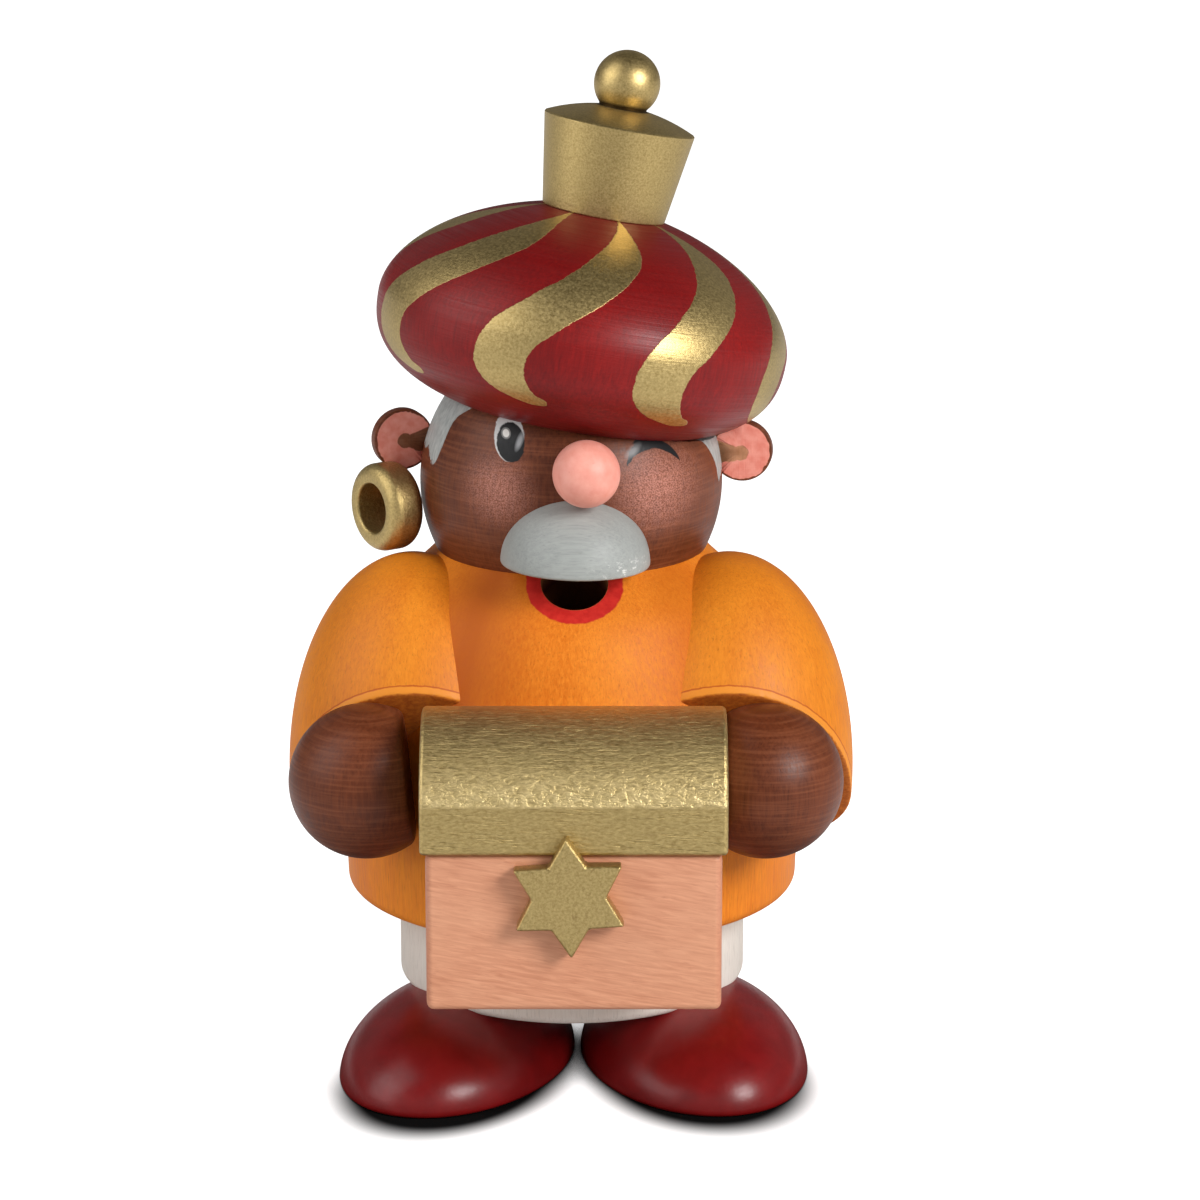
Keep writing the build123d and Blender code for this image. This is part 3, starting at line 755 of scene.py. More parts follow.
def gold_finish(name, long_size, depth, strength, fine_size=2600, spot=(0, 0, 0), tip=(0, 0, 0),
                specks=0.5, shaded_seam=None):
    """A piece that is gold all over, with a dark line of painted shade round a seam at (radius, height)."""
    finish, shader = new_finish(name, 0.4)
    shader.inputs["Metallic"].default_value = bronze_metal
    colour, rough, height = gold_coat(wood_place(spot, tip, fine_size), wood_place(spot, tip, long_size),
                                      specks)
    if shaded_seam:
        x, y, z = split(wood_place(spot, tip, 1000))
        out = hypot(x, y)
        out = out - shaded_seam[0]
        rise = z - shaded_seam[1]
        gap = hypot(out, rise)
        colour = tint(stretch(gap, 0.15, 0.85, 0.9, 0.0, "SMOOTHSTEP"), colour, (0.045, 0.024, 0.008))
    paint_on(shader, colour)
    feed(rough, shader.inputs["Roughness"])
    relief(shader, height, depth, strength)
    return finish


# %% [markdown]
# ## The turban's stripes
# Eight gold S-shaped stripes sweep down from the crown, widest below the middle, each ending in a point that
# turns to the viewer's right. They are a common swirl for a turned turban. In the hat's own coordinates a
# stripe is simple: for each height, an angle where it starts and one where it ends. Two curves hold those
# angles, and the angle round the hat is wrapped every 45 degrees so that one stripe becomes eight.

# %% Red stain with gold stripes
def drawn_curve(value, points, low, high):
    """A drawn curve: points of (input, output) between low and high of the input."""
    floor = min(p[1] for p in points)
    reach = max(p[1] for p in points) - floor
    bent = add("FloatCurve", {"Value": stretch(value, low, high)})
    line = bent.mapping.curves[0]
    drawn = sorted(((p[0] - low) / (high - low), (p[1] - floor) / reach) for p in points)
    line.points[0].location = drawn[0]
    line.points[1].location = drawn[-1]
    for spot in drawn[1:-1]:
        line.points.new(*spot)
    bent.mapping.update()
    return stretch(Field(bent.outputs[0]), 0.0, 1.0, floor, floor + reach)


left_edge = [(17.4, 14), (16.3, 10), (15, 5.5), (12.9, -1), (11.1, -5.5), (8.9, -11), (7.4, -15),
             (5.8, -18.5), (2.3, -25.4), (0, -28), (-2.5, -29.5), (-5, -29.2), (-6.5, -27.5),
             (-7.9, -24), (-8.8, -19), (-9.5, -12)]
right_edge = [(17.4, 15), (15.5, 18.5), (14.1, 19), (12.8, 17.8), (10.8, 13.5), (9.1, 9.3), (7.7, 5.8),
              (5.8, 1), (3.8, -4), (1.3, -9), (-0.8, -12.8), (-3, -14.4), (-4.6, -14.6), (-6.4, -13.4),
              (-7.8, -11.2), (-9.0, -7.3), (-9.5, -12)]
stripe_low, stripe_high, one_degree = -9.5, 17.4, 0.01745
turban_finish, shader = new_finish("red_stain_with_gold_stripes", 0.4, 0.05, 0.35)
lean_x, lean_y = [math.radians(a) for a in hat_tip]
hat_turn = Matrix.Rotation(lean_x, 3, "X") @ Matrix.Rotation(lean_y, 3, "Y")
hat_lean = [math.degrees(a) for a in hat_turn.to_euler("XYZ")]
x, y, z = split(wood_place(hat_spot, hat_lean, 1000))
round_hat = bearing(x, y)
from_axis = hypot(x, y)
left = drawn_curve(z, left_edge, stripe_low, stripe_high)
right = drawn_curve(z, right_edge, stripe_low, stripe_high)
middle = (left + right) * 0.5
half = (right - left) * 0.5
off = abs(sum_up("WRAP", round_hat - middle, 22.5, -22.5))
inside = (half - off) * (from_axis * one_degree)
hairs = speckle(1500, 3.0)
inside = inside + stretch(hairs, 0.3, 0.7, -0.12, 0.12)
stripe = stretch(inside, -0.06, 0.08)
stripe = stripe * (z > stripe_low)
red, height = stain(shader, (0.30, 0.0080, 0.0070), (0.135, 0.0035, 0.0045), hat_spot, hat_lean, 0.8, 0.7)
# Painted shade: the red is painted darker towards the crown, from 4 mm above the turban's middle upwards.
red = tint(stretch(z, 4.0, 15.0, 0.0, 0.6), red, (0.105, 0.0040, 0.0045))
gold, gold_rough, gold_height = gold_coat(wood_place(hat_spot, hat_lean, 2400),
                                          wood_place(hat_spot, hat_lean, (420, 420, 2600)), 0.3)
lines = speckle_at(wood_place(hat_spot, hat_lean, (60, 60, 4200)), 2.0)
paint_on(shader, tint(stripe, red, gold))
feed(stripe * bronze_metal, shader.inputs["Metallic"])
red_rough = stretch(lines, 0.3, 0.7, 0.33, 0.50)
rough = red_rough * (1.0 - stripe) + gold_rough * stripe
feed(rough, shader.inputs["Roughness"])
both = lines * 1.2 + gold_height * stripe
relief(shader, both + stripe * 0.8, 0.045, 0.5)
glue(turban, "turban", "figure", turban_finish)

# %% [markdown]
# ## Crown and knob
# On top stands an upside-down cone with a low domed lid and a ball. Both lean with the hat, so both are
# turned upright in the hat's frame. The rim's edge is only just broken, which gives the bright worn line.

# %% Crown and knob
dome_size = (11.5 ** 2 + 2.6 ** 2) / (2 * 2.6)
dome_start = 90 - math.degrees(math.asin(11.1 / dome_size))
dome = bow((0, 16.3 - dome_size), (dome_size, dome_size), dome_start, 90, 14)
cup = [(0, 0), (9.2, 0), (9.37, 0.2), (11.44, 13.35), (11.46, 13.6), (11.3, 13.8)] + dome[:-1] + [(0, 16.3)]
crown = turn_piece("gold_crown", [(r, h + crown_foot) for r, h in cup])
place(crown, hat_spot, *hat_tip)
sand(crown, 38)
seat = math.sqrt(5.0 ** 2 - 3.6 ** 2)
ball_foot = crown_foot + 16.3
knob = turn_piece("gold_knob", [(0, ball_foot - 0.35), (3.6, ball_foot - 0.35)]
                  + bow((0, ball_foot + seat), (5, 5), -43, 90, 48), 96)
place(knob, hat_spot, *hat_tip)
sand(knob, 60)
# The dark line round the knob's seat is painted shade in the crease where the ball sits on the dome.
turned_gold = gold_finish("turned_gold", (300, 300, 1900), 0.04, 0.5, 3400, hat_spot, hat_lean, 0.15,
                          (3.6, ball_foot - 0.1))
glue(crown, "hat_crown", "figure", turned_gold)
glue(knob, "hat_knob", "figure", turned_gold)

# %% [markdown]
# ## Head
# The head is a ball with a flat on the neck and a leaning flat under the turban. It is turned with
# 180 sides, because the face is painted on it and lies in the best light.

# %% Head
head = turn_piece("head_ball", [(0, 66.7)] + bow((0, head_high), (head_size, head_size), -89.5, 89.5, 120)
                  + [(0, 112.9)], 180)
saw(head, (0, 0, neck_high), (0, 0, -1))
hat_up = hat_turn @ Vector((0, 0, 1))
saw(head, hat_spot + hat_up * (2.5 - turban_below), hat_up)
sand(head)

# %% [markdown]
# ## The painted face
# The face is a doll's: one round open eye, one winking eye, two speckled cheeks and grey hair brushed on
# beside the ears. Nothing is modelled; a painter did it, so the material does it. Each mark is a shape in the
# front view, x across and z up, in millimetres: an oval is a scaled distance, a brush stroke is a drawn curve
# with a width. Marks are laid over each other in the painter's order.

# %% Shapes for painting
def oval(x, z, middle, half_sizes, lean=0.0, soft=0.06, reach=None):
    """A filled oval: 1 inside, 0 outside, with an edge soft millimetres wide or between two shares."""
    turn = math.radians(lean)
    dx = x - middle[0]
    dz = z - middle[1]
    u = dx * math.cos(turn) + dz * math.sin(turn)
    v = dz * math.cos(turn) - dx * math.sin(turn)
    u = u / half_sizes[0]
    v = v / half_sizes[1]
    far = hypot(u, v)
    if reach:
        return stretch(far, *reach, 1.0, 0.0, "SMOOTHSTEP")
    edge = soft / min(half_sizes)
    return stretch(far, 1 - edge, 1 + edge, 1.0, 0.0)


def stroke(x, z, spine, widths, low, high):
    """A brush stroke: its middle line z(x) and its half width, both drawn curves over x."""
    line = drawn_curve(x, spine, low, high)
    wide = drawn_curve(x, widths, low, high)
    off = abs(z - line)
    mark = stretch(wide - off, -0.06, 0.06)
    ends = (x > low) * (x < high)
    return mark * ends


# %% [markdown]
# ## The face
# The painter dabs the cheeks with a nearly dry brush, so the wood shows between the dots, and then paints an
# open eye and a winking one, with the lights last. Every mark is laid over the ones before it, in that order.
# A little noise shifts the edges of the larger marks, as a brush does.

# %% The face
head_finish, shader, colour, height = brown_wood("brown_stain_head", (0, 0, head_high))
x, y, z = split(wood_place(size=1000))
jitter = stretch(speckle(1300, 2.0), 0.3, 0.7, -0.09, 0.09)
xj = x + jitter
zj = z - jitter
front = y < 0.0


def lay(colour, mark, paint, cover=1.0):
    """Lay one painted mark over the face."""
    share = mark * front * cover
    return tint(share, colour, paint)


dots = speckle(4600, 2.0, 0.7)
# Pink dabs on both cheeks; the one on the figure's left, towards the right-hand lamp, is wider and stronger,
# a painted highlight on top of the blush.
for spot, reach, cover in (((-10.6, 92.4), 7.2, 0.58), ((12.8, 92.4), 9.0, 0.66)):
    dx = x - spot[0]
    dz = z - spot[1]
    far = hypot(dx, dz)
    blush_and_painted_sheen = stretch(far, 0.5, reach, 1.0, 0.0, "SMOOTHSTEP") * stretch(dots, 0.40, 0.62, 0.18, 1.0)
    colour = lay(colour, blush_and_painted_sheen, (0.78, 0.35, 0.27), cover)
colour = lay(colour, oval(xj, zj, (-9.1, 100.2), (2.25, 3.4)), (0.66, 0.67, 0.66))
colour = lay(colour, oval(xj, zj, (-8.85, 99.5), (2.1, 2.75)), (0.006, 0.006, 0.007))
colour = lay(colour, oval(x, z, (-7.5, 99.8), (0.38, 1.15), -22, 0.2), (0.34, 0.35, 0.36))
colour = lay(colour, oval(x, z, (-9.55, 100.7), (0.72, 0.78), 0, 0.06), (0.22, 0.22, 0.21))
colour = lay(colour, oval(x, z, (-9.55, 100.7), (0.50, 0.55), 0, 0.06), (0.86, 0.85, 0.80))
wink_line = [(8.4, 96.6), (9.0, 97.7), (9.8, 98.6), (11, 99.0), (12.5, 98.95), (14, 98.3), (15.3, 97.3),
             (16.4, 95.9)]
wink_width = [(8.4, 0.3), (9.2, 0.8), (10.4, 0.85), (12, 0.65), (13.6, 0.62), (15, 0.5), (16.4, 0.05)]
wink = stroke(xj, zj, wink_line, wink_width, 8.4, 16.4)
colour = lay(colour, wink, (0.008, 0.008, 0.009))
colour = lay(colour, oval(xj, zj, (10.9, 100.0), (1.8, 0.5), 20), (0.008, 0.008, 0.009))
colour = lay(colour, oval(x, z, (9.3, 98.3), (1.1, 0.55), 40, 0.3), (0.30, 0.30, 0.30), 0.7)

# %% [markdown]
# The hair begins beside each eye and runs round the back of the head. Its edge is a curve of angle against
# height: on the figure's right it ends in a short point, on its left in a longer one.

# %% Grey hair
turn_round = abs(bearing(x, y))
front_right = drawn_curve(z, [(88, 110), (92.5, 74), (94.1, 65.5), (96.5, 62), (98.5, 61), (101.3, 59),
                              (103.4, 51), (106, 44)], 88, 106)
front_left = drawn_curve(z, [(86, 120), (89.5, 80), (90.4, 76.6), (93.7, 73.3), (95.3, 70.7), (97, 67),
                             (98.2, 62), (101, 52), (106, 44)], 86, 106)
right_side = x < 0.0
front_line = front_right * right_side + front_left * (1.0 - right_side)
tufts = stretch(speckle((420, 420, 160), 3.0), 0.3, 0.7, -1.4, 1.4)
low_line = drawn_curve(turn_round, [(60, 93.5), (70, 94.6), (80, 95.4), (95, 94), (115, 90), (150, 88.2),
                                    (180, 87.8)], 60, 180)
low_line = low_line - (1.0 - right_side) * stretch(turn_round, 75, 100, 5.0, 0.5)
in_front = stretch(turn_round - (front_line + jitter * 2.0), -0.2, 0.2)
over = stretch(z - (low_line + tufts), -0.1, 0.1)
hair = in_front * over
strands = speckle((1800, 1800, 260), 3.0)
colour = tint(hair, colour, tint(stretch(strands, 0.35, 0.65), (0.33, 0.35, 0.34), (0.47, 0.49, 0.47)))
paint_on(shader, colour)
relief(shader, height + hair * 0.8, 0.03, 0.5)
glue(head, "head", "figure", head_finish)

# %% [markdown]
# ## Nose and moustache
# The nose is a pink ball, the moustache half a ball lying on its flat and rolled a little. Both are hollowed
# by the head's own form, so they sit on the face without a gap.

# %% Nose and moustache
nose = turn_piece("nose_ball", [(0, -5)] + bow((0, 0), (5, 5), -88, 88, 56) + [(0, 5)], 96)
place(nose, (2.4, -26.4, 96.4), tip_x=90)
nose_form = cast(nose)
gouge(nose, head_form)
sand(nose, 60)
half_ball = [(0, 0), (10.75, 0)] + bow((10.75, 0.42), (0.42, 0.42), -90, 0, 5)
half_ball += [p for p in bow((0, 0), (11.2, 10.7), 3, 90, 56) if p[1] > 0.5]
moustache = turn_piece("moustache_half_ball", half_ball[:-1] + [(0, 10.7)], 160)
place(moustache, (0.7, -20.0, 81.3), tip_y=1.5)
gouge(moustache, head_form, nose_form)
sand(moustache)

pink_paint, shader = new_finish("pink_paint", 0.5)
cloud = speckle(420, 3.0)
skin = speckle(2300, 3.0, 0.6)
colour = tint(stretch(cloud, 0.3, 0.7), (0.80, 0.285, 0.215), (0.90, 0.40, 0.32))
colour = tint(stretch(skin, 0.66, 0.78, 0.0, 0.35), colour, (0.55, 0.16, 0.11))
paint_on(shader, colour)
relief(shader, skin, 0.05, 0.5)
glue(nose, "nose", "figure", pink_paint)

grey_stain, shader = new_finish("grey_stain", 0.5)
colour, height = stain(shader, (0.42, 0.435, 0.415), (0.30, 0.315, 0.30), (0, 0, 81.3), (0, 90, 0), 0.3,
                       0.7, (0.40, 0.55))
x, y, z = split(wood_place(size=1000))
scuffs = stretch(speckle((900, 900, 1800), 4.0, 0.7), 0.57, 0.63)
worn = scuffs * oval(x, z, (7.5, 82.2), (3.6, 1.4), 0, 0.8)
colour = tint(worn * 0.8, colour, (0.80, 0.80, 0.76))
paint_on(shader, colour)
relief(shader, height, 0.04, 0.5)
glue(moustache, "moustache", "figure", grey_stain)

# %% [markdown]
# ## Ears and earring
# An ear is a thin disc, glued where it meets the head and tucked under the turban, with a pink C painted on
# its face. The notch of the C is an oval and a wedge that opens towards the head. The earring is a fat
# turned ring: a closed outline with rounded corners, spun about its hole.

# %% Ears
def ear(name, side, spot, turn_out):
    """Disc of 9.4 mm, 2 mm thick, with broken edges."""
    outline = [(0, -1), (4.45, -1), (4.62, -0.93), (4.7, -0.75), (4.7, 0.75), (4.62, 0.93), (4.45, 1),
               (0, 1)]
    disc = turn_piece(name, outline, 96)
    set_down(disc, spot, turned(-side * turn_out, "Z") @ turned(90, "X"))
    gouge(disc, head_form, turban_form)
    sand(disc)
    finish, shader, colour, height = brown_wood(name + "_finish", spot)
    x, y, z = split(wood_place(spot, (0, 0, -side * turn_out), 1000))
    wave = stretch(speckle(700, 2.0), 0.3, 0.7, -0.15, 0.15)
    u = x * -side + wave
    v = z + wave
    lobe = oval(u, v, (0.0, 0.0), (4.35, 4.35))
    bay = oval(u, v, (0.2, -0.25), (1.25, 1.15))
    opening = u * 0.32 + 0.75 - abs(v + 0.35)
    wedge = stretch(opening, -0.08, 0.08) * (u > 0.2)
    painted = lobe * (1.0 - sum_up("MAXIMUM", bay, wedge))
    on_face = y < -0.8
    painted = painted * on_face
    # The bare wood in the notch is painted light tan on the left ear, which faces the right-hand lamp, and
    # stays mostly dark stain on the right ear: painted light and shade over bare wood.
    bare_wood_and_painted_light = lobe * on_face * (0.85 if side > 0 else 0.25)
    colour = tint(bare_wood_and_painted_light, colour, tint(stretch(wave, -0.1, 0.1), (0.46, 0.21, 0.10), (0.66, 0.33, 0.18)))
    colour = tint(painted, colour, tint(stretch(wave, -0.1, 0.1), (0.86, 0.265, 0.200), (0.95, 0.37, 0.29)))
    paint_on(shader, colour)
    relief(shader, height + painted * 1.2, 0.06, 0.5)
    glue(disc, "ear_right" if side < 0 else "ear_left", "figure", finish)


ear("ear_right_disc", -1, (-25.8, 0, 96.0), 20.0)
ear("ear_left_disc", 1, (26.1, 0, 94.2), 8.0)

# %% [markdown]
# ## The earring
# A small turned ring, painted gold and glued below the right ear. Its outer edges are rounded far more than
# the edges of its hole, so the outline is four quarter bows, and the lathe joins the last to the first.

# %% Earring
outer_size, outer_round, inner_round, half_thick = 6.75, 1.9, 0.5, 2.95
far_out, near_in = outer_size - outer_round, 3.8 + inner_round
ring_outline = bow((far_out, half_thick - outer_round), (outer_round, outer_round), 0, 90, 12)
ring_outline += bow((near_in, half_thick - inner_round), (inner_round, inner_round), 90, 180, 5)
ring_outline += bow((near_in, inner_round - half_thick), (inner_round, inner_round), 180, 270, 5)
ring_outline += bow((far_out, outer_round - half_thick), (outer_round, outer_round), 270, 360, 12)
earring = turn_piece("gold_earring", ring_outline, 96, ring=True)
set_down(earring, (-28.1, -3.0, 86.1), turned(-54, "Z") @ turned(90, "X"))
sand(earring, 60)
ring_gold = gold_finish("ring_gold", 1700, 0.09, 0.7, 3000)
glue(earring, "earring", "figure", ring_gold)

# %% [markdown]
# ## Treasure chest
# The box is a solid block of bare beech with rounded edges, hollowed behind to lie against the belly. The
# block is a cube taken to size and bevelled all round in edit mode; four segments make the round soft.

# %% Chest box
def block_of_wood(name, low, high, soften):
    """A block between two corners in millimetres, with every edge rounded."""
    middle = [(a + b) / 2 * mm for a, b in zip(low, high)]
    bpy.ops.object.select_all(action="DESELECT")
    sizes = [(b - a) * mm for a, b in zip(low, high)]
    bpy.ops.mesh.primitive_cube_add(size=1, location=middle, scale=sizes)
    made = bpy.context.object
    made.name = name
    alone(made)
    bpy.ops.object.transform_apply(location=True, rotation=True, scale=True)
    bench(made, "EDIT")
    grab()
    bpy.ops.mesh.bevel(offset=soften * mm, segments=4, profile=0.5, affect="EDGES")
    bench(made, "OBJECT")
    return made


chest = block_of_wood("chest_block", (-20.9, -50.0, 21.5), (22.1, -28.5, 45.4), 1.1)
gouge(chest, belly_form)
sand(chest)
beech, shader = new_finish("oiled_beech", 0.5)
streaks = speckle_at(wood_place(tip=(0, 10, 0), size=(190, 1500, 2300)), 4.0, 0.6, 0.6)
flecks = speckle_at(wood_place(tip=(0, 8, 0), size=(420, 3200, 3600)), 3.0, 0.6)
patches = speckle_at(wood_place(tip=(0, 8, 0), size=(35, 90, 110)), 3.0)
colour = tint(stretch(streaks, 0.33, 0.67), (0.57, 0.225, 0.118), (0.74, 0.345, 0.200))
colour = tint(stretch(patches, 0.35, 0.65, 0.0, 0.45), colour, (0.74, 0.365, 0.215))
colour = tint(stretch(flecks, 0.60, 0.72, 0.0, 0.4), colour, (0.42, 0.13, 0.065))
x, y, z = split(wood_place((0.6, 0, 0), size=1000))
side_edge = stretch(abs(x), 20.6, 21.4)
foot_edge = stretch(z, 21.5, 22.2, 1.0, 0.0)
colour = tint(sum_up("MAXIMUM", side_edge, foot_edge) * 0.45, colour, (0.42, 0.12, 0.06))
paint_on(shader, colour)
feed(stretch(streaks, 0.3, 0.7, 0.42, 0.56), shader.inputs["Roughness"])
relief(shader, streaks + flecks, 0.04, 0.4)
glue(chest, "chest_box", "figure", beech)

# %% [markdown]
# The lid is sawn from the same stock: an upright band, a crease, and an arch above it. Its end is drawn as a
# run of points, filled, and pushed across the width; then its edges are rounded. It overhangs the box a
# little all round.

# %% Chest lid
def end_board(name, outline, low_x, high_x, soften):
    """A board with an outline of (y, z) points, pushed from low_x to high_x, with rounded edges."""
    board = first_point(name, (low_x * mm, outline[0][0] * mm, outline[0][1] * mm))
    for (y, z), (next_y, next_z) in zip(outline, outline[1:] + outline[:1]):
        step = (0, (next_y - y) * mm, (next_z - z) * mm)
        bpy.ops.mesh.extrude_vertices_move(TRANSFORM_OT_translate={"value": step})
    weld()
    grab()
    bpy.ops.mesh.edge_face_add()
    bpy.ops.mesh.extrude_region_move(TRANSFORM_OT_translate={"value": ((high_x - low_x) * mm, 0, 0)})
    grab()
    bpy.ops.mesh.normals_make_consistent(inside=False)
    bench(board, "OBJECT")
    round_edges(board, soften, 12, 14.0, clamp=False)
    return board


arch_size = (13.5 ** 2 + 11.0 ** 2) / (2 * 11.0)
arch_start = math.degrees(math.asin((arch_size - 11.0) / arch_size))
arch = bow((-37.3, 63.6 - arch_size), (arch_size, arch_size), 180 - arch_start, 180 - arch_start - 130, 28)
arch = [p for p in arch if p[0] < -29.6]
arch_end = 63.6 - arch_size + math.sqrt(arch_size ** 2 - 8.8 ** 2)
lid_end = [(-50.8, 45.4)] + arch + [(-28.5, arch_end), (-28.5, 45.4)]
lid = end_board("chest_lid_board", lid_end, -21.7, 22.9, 0.7)
gouge(lid, belly_form)
sand(lid, 9.5)
rough_gold, shader = new_finish("gold_on_rough_wood", 0.4)
shader.inputs["Metallic"].default_value = bronze_metal
colour, rough, height = gold_coat(wood_place(size=(1100, 2600, 2600)), wood_place(size=(300, 1500, 1500)),
                                  0.35)
lumps = speckle((900, 1300, 1300), 3.0, 0.6, 0.6)
z = split(wood_place(size=1000))[2]
near_crease = stretch(z, 52.4, 52.9) * stretch(z, 53.6, 58.5, 1.0, 0.12)
scratches = stretch(speckle_at(wood_place(tip=(0, 4, 0), size=(160, 4200, 4200)), 2.0), 0.62, 0.72)
height = height + lumps * near_crease * 3.0
height = height - scratches * 0.8
# Painted highlight: a bright gold line just above the crease, broken up by the lumps.
painted_crease_highlight = near_crease * stretch(lumps, 0.38, 0.62, 0.25, 0.9)
colour = tint(painted_crease_highlight, colour, (0.80, 0.63, 0.31))
paint_on(shader, colour)
feed(rough, shader.inputs["Roughness"])
relief(shader, height, 0.14, 0.75)
glue(lid, "chest_lid", "figure", rough_gold)

# %% [markdown]
# The star is cut from thin board. A twelve-cornered disc is the quickest start: every second corner is
# pulled in, the disc is drawn out to its thickness, and the edges are broken so that they catch the light.

# %% Star
star_tip, star_notch, star_thick, star_turn = 9.15, 5.45, 3.0, 2.4
bpy.ops.object.select_all(action="DESELECT")
bpy.ops.mesh.primitive_circle_add(vertices=12, radius=star_tip * mm, fill_type="NGON")
star = bpy.context.object
star.name = "gold_star"
bench(star, "EDIT")
bpy.ops.mesh.select_mode(type="VERT")
bpy.ops.mesh.select_all(action="DESELECT")
bench(star, "OBJECT")
for number, corner_point in enumerate(star.data.vertices):
    corner_point.select = number % 2 == 1
bench(star, "EDIT")
bpy.ops.transform.resize(value=(star_notch / star_tip,) * 3, center_override=(0, 0, 0))
grab()
bpy.ops.mesh.extrude_region_move(TRANSFORM_OT_translate={"value": (0, 0, star_thick * mm)})
grab()
bpy.ops.mesh.normals_make_consistent(inside=False)
bench(star, "OBJECT")
round_edges(star, 0.45, 3)
set_down(star, (-0.1, -50.0, 39.6), turned(90, "X") @ turned(star_turn, "Z"))
sand(star)
star_gold = gold_finish("star_gold", 1100, 0.10, 0.6, 2600)
glue(star, "chest_star", "figure", star_gold)

# %% [markdown]
# ## Pegs
# The pegs inside the joints never show. Their CAD solids are right as they are, so they only get plain
# beech with a fine grain.

# %% Pegs
peg_beech, shader = new_finish("peg_beech", 0.6)
colour, height = stain(shader, (0.72, 0.52, 0.35), (0.55, 0.36, 0.22), rings=0.1)
paint_on(shader, colour)
relief(shader, height, 0.04, 0.4)
for node in ("shoe_pegs", "arm_pegs", "hand_pegs", "neck_peg", "turban_peg", "crown_peg"):
    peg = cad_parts[node]
    peg.data.materials.clear()
    peg.data.materials.append(peg_beech)
for form in tools:
    bpy.data.objects.remove(form)
print("forms thrown away:", len(tools))

# %% [markdown]
# ## Studio
# The picture is a plain catalogue shot: a white ground, a soft lamp on the right, two weaker ones on the left
# and a darker room above. The gold needs that dark room, or it would look like paper. The ground glows to the
# white of a page for the camera, with a painted shadow under the soles; in reflections it is darker and glows
# in a drawn ring round the figure and towards the sides, which is painted light.

# %% Floor
bpy.ops.object.select_all(action="DESELECT")
bpy.ops.mesh.primitive_plane_add(size=14)
floor = bpy.context.object
floor.name = "white_ground"
white_ground, shader = new_finish("white_ground", 1.0)
shader.inputs["Specular IOR Level"].default_value = 0.0
rays = {ray.name: Field(ray) for ray in add("LightPath").outputs}
x, y, z = split(Field(add("TexCoord").outputs["Object"]))
# Painted shadow on the ground: an occlusion term near the soles and a drawn soft oval ahead of each shoe.
near = Field(add("AmbientOcclusion", {"Distance": 0.012}, samples=16).outputs["AO"])
lit = stretch(near, 0.15, 0.60, 0.0, 1.0, "SMOOTHSTEP")
floor_x, floor_y = [value * 1000.0 for value in (x, y)]
for spot, toe_out in shoe_places.values():
    under = (spot[0] * 1.02, spot[1] + axis_spot.y / mm - (7.8 if spot[0] < 0 else 6.6))
    shade = oval(floor_x, floor_y, under, (17.0, 26.0), toe_out, reach=(0.80, 1.18))
    lit = lit * (1.0 - shade)
from_middle = hypot(x, y)
page = stretch(from_middle, 0.10, 0.45, 0.85, 1.0)
seen = rays["Is Camera Ray"] * page
# For mirrored rays the ground is darker and glows in a drawn ring and towards the sides: painted light for
# the reflections.
aside = stretch(abs(x), 0.05, 0.30, 0.0, 0.40) + drawn_curve(from_middle,
    [(0.04, 0.0), (0.075, 0.35), (0.11, 0.85), (0.16, 0.80), (0.26, 0.36), (0.5, 0.30)], 0.04, 0.5)
mirrored = sum_up("MAXIMUM", rays["Is Glossy Ray"], rays["Is Transmission Ray"])
glow = lit * (seen + mirrored * aside)
ground = tint(mirrored, (0.82, 0.82, 0.82), (0.14, 0.14, 0.14))
paint_on(shader, tint(lit, (0.006, 0.006, 0.006), ground))
shader.inputs["Emission Color"].default_value = (1, 1, 1, 1)
feed(glow, shader.inputs["Emission Strength"])
floor.data.materials.append(white_ground)

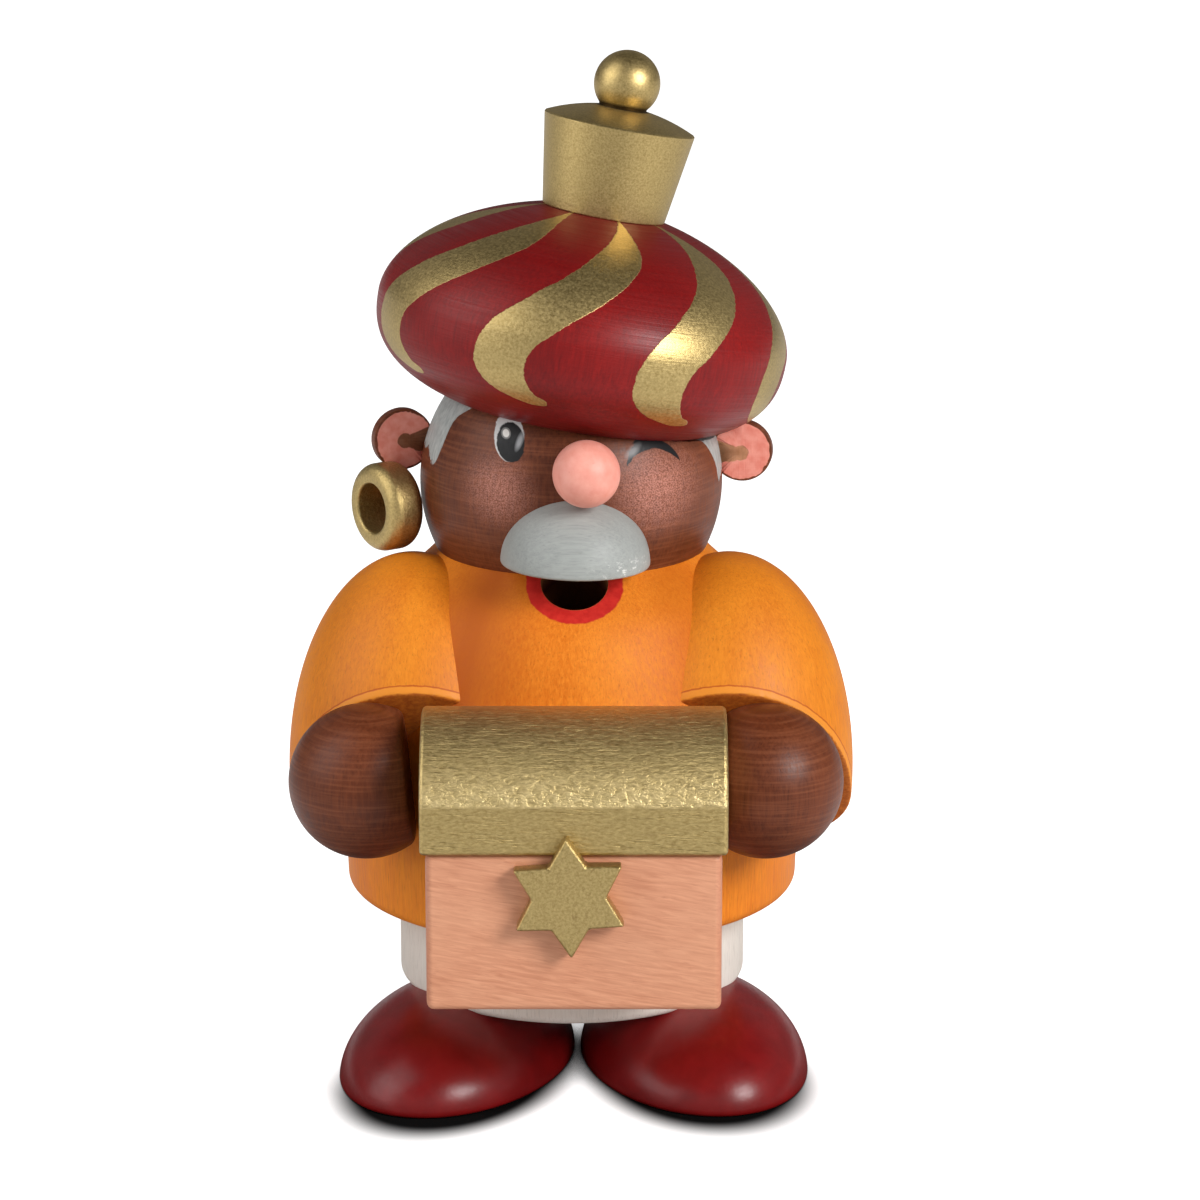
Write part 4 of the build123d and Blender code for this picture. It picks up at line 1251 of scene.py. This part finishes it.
# %% [markdown]
# ## Room and lamps
# Glossy paint mirrors its surroundings, so they are drawn too: a band of light above eye level, brighter in
# front than behind. The camera itself sees plain white there. The lamps add the highlights and the shadows.

# %% Room and lamps
world = bpy.data.worlds.new("studio_room")
bpy.context.scene.world = world
world.use_nodes = True
tree = world.node_tree
across, depth, up = split(Field(add("TexCoord").outputs["Generated"]))
frontal = stretch(depth, -0.6, 0.4, 1.0, 0.35, "SMOOTHSTEP")
level_line = [(-1, 0.3), (-0.1, 0.42), (0.15, 0.62), (0.3, 1.15), (0.45, 1.35), (0.58, 0.85),
              (0.72, 0.25), (1, 0.12)]
level = drawn_curve(up, level_line, -1, 1)
aside = stretch(abs(across), 0.1, 0.7, 0.85, 1.0)
room = frontal * level * (aside * 0.50)
room = sum_up("MAXIMUM", room, Field(add("LightPath").outputs["Is Camera Ray"]))
feed(room, tree.nodes["Background"].inputs["Strength"])
tree.nodes["Background"].inputs["Color"].default_value = (1, 1, 1, 1)


def lamp(name, spot, size, power, aim=(0, 0.0, 0.07)):
    """A square soft box that looks at the figure."""
    bpy.ops.object.light_add(type="AREA", location=spot)
    box = bpy.context.object
    box.name = name
    box.data.shape = "RECTANGLE"
    box.data.size, box.data.size_y = size
    box.data.energy = power
    box.rotation_euler = (Vector(aim) - Vector(spot)).to_track_quat("-Z", "Y").to_euler()


lamp("soft_box_right", (0.41, -0.37, 0.37), (0.24, 0.24), 3.3)
lamp("soft_box_left", (-0.56, -0.18, 0.32), (0.46, 0.46), 1.15)
lamp("soft_box_upper_left", (-0.36, -0.14, 0.52), (0.40, 0.40), 0.8)

# %% [markdown]
# ## Camera
# The photo was taken with a long lens from a little above, straight in front. The camera stands 640 mm in
# front of the turning axis, 236 mm up, and looks 14.5 degrees down.

# %% Camera and output
camera_spot, look_down = Vector((4.4, -640, 236)), 14.5
bpy.ops.object.camera_add(location=camera_spot * mm + axis_spot,
                          rotation=(math.radians(90 - look_down), 0, 0))
camera = bpy.context.object
camera.data.lens = 128.64
camera.data.sensor_width = 36
camera.data.clip_start = 0.01
bpy.context.scene.camera = camera
bpy.context.scene.view_settings.view_transform = "Standard"
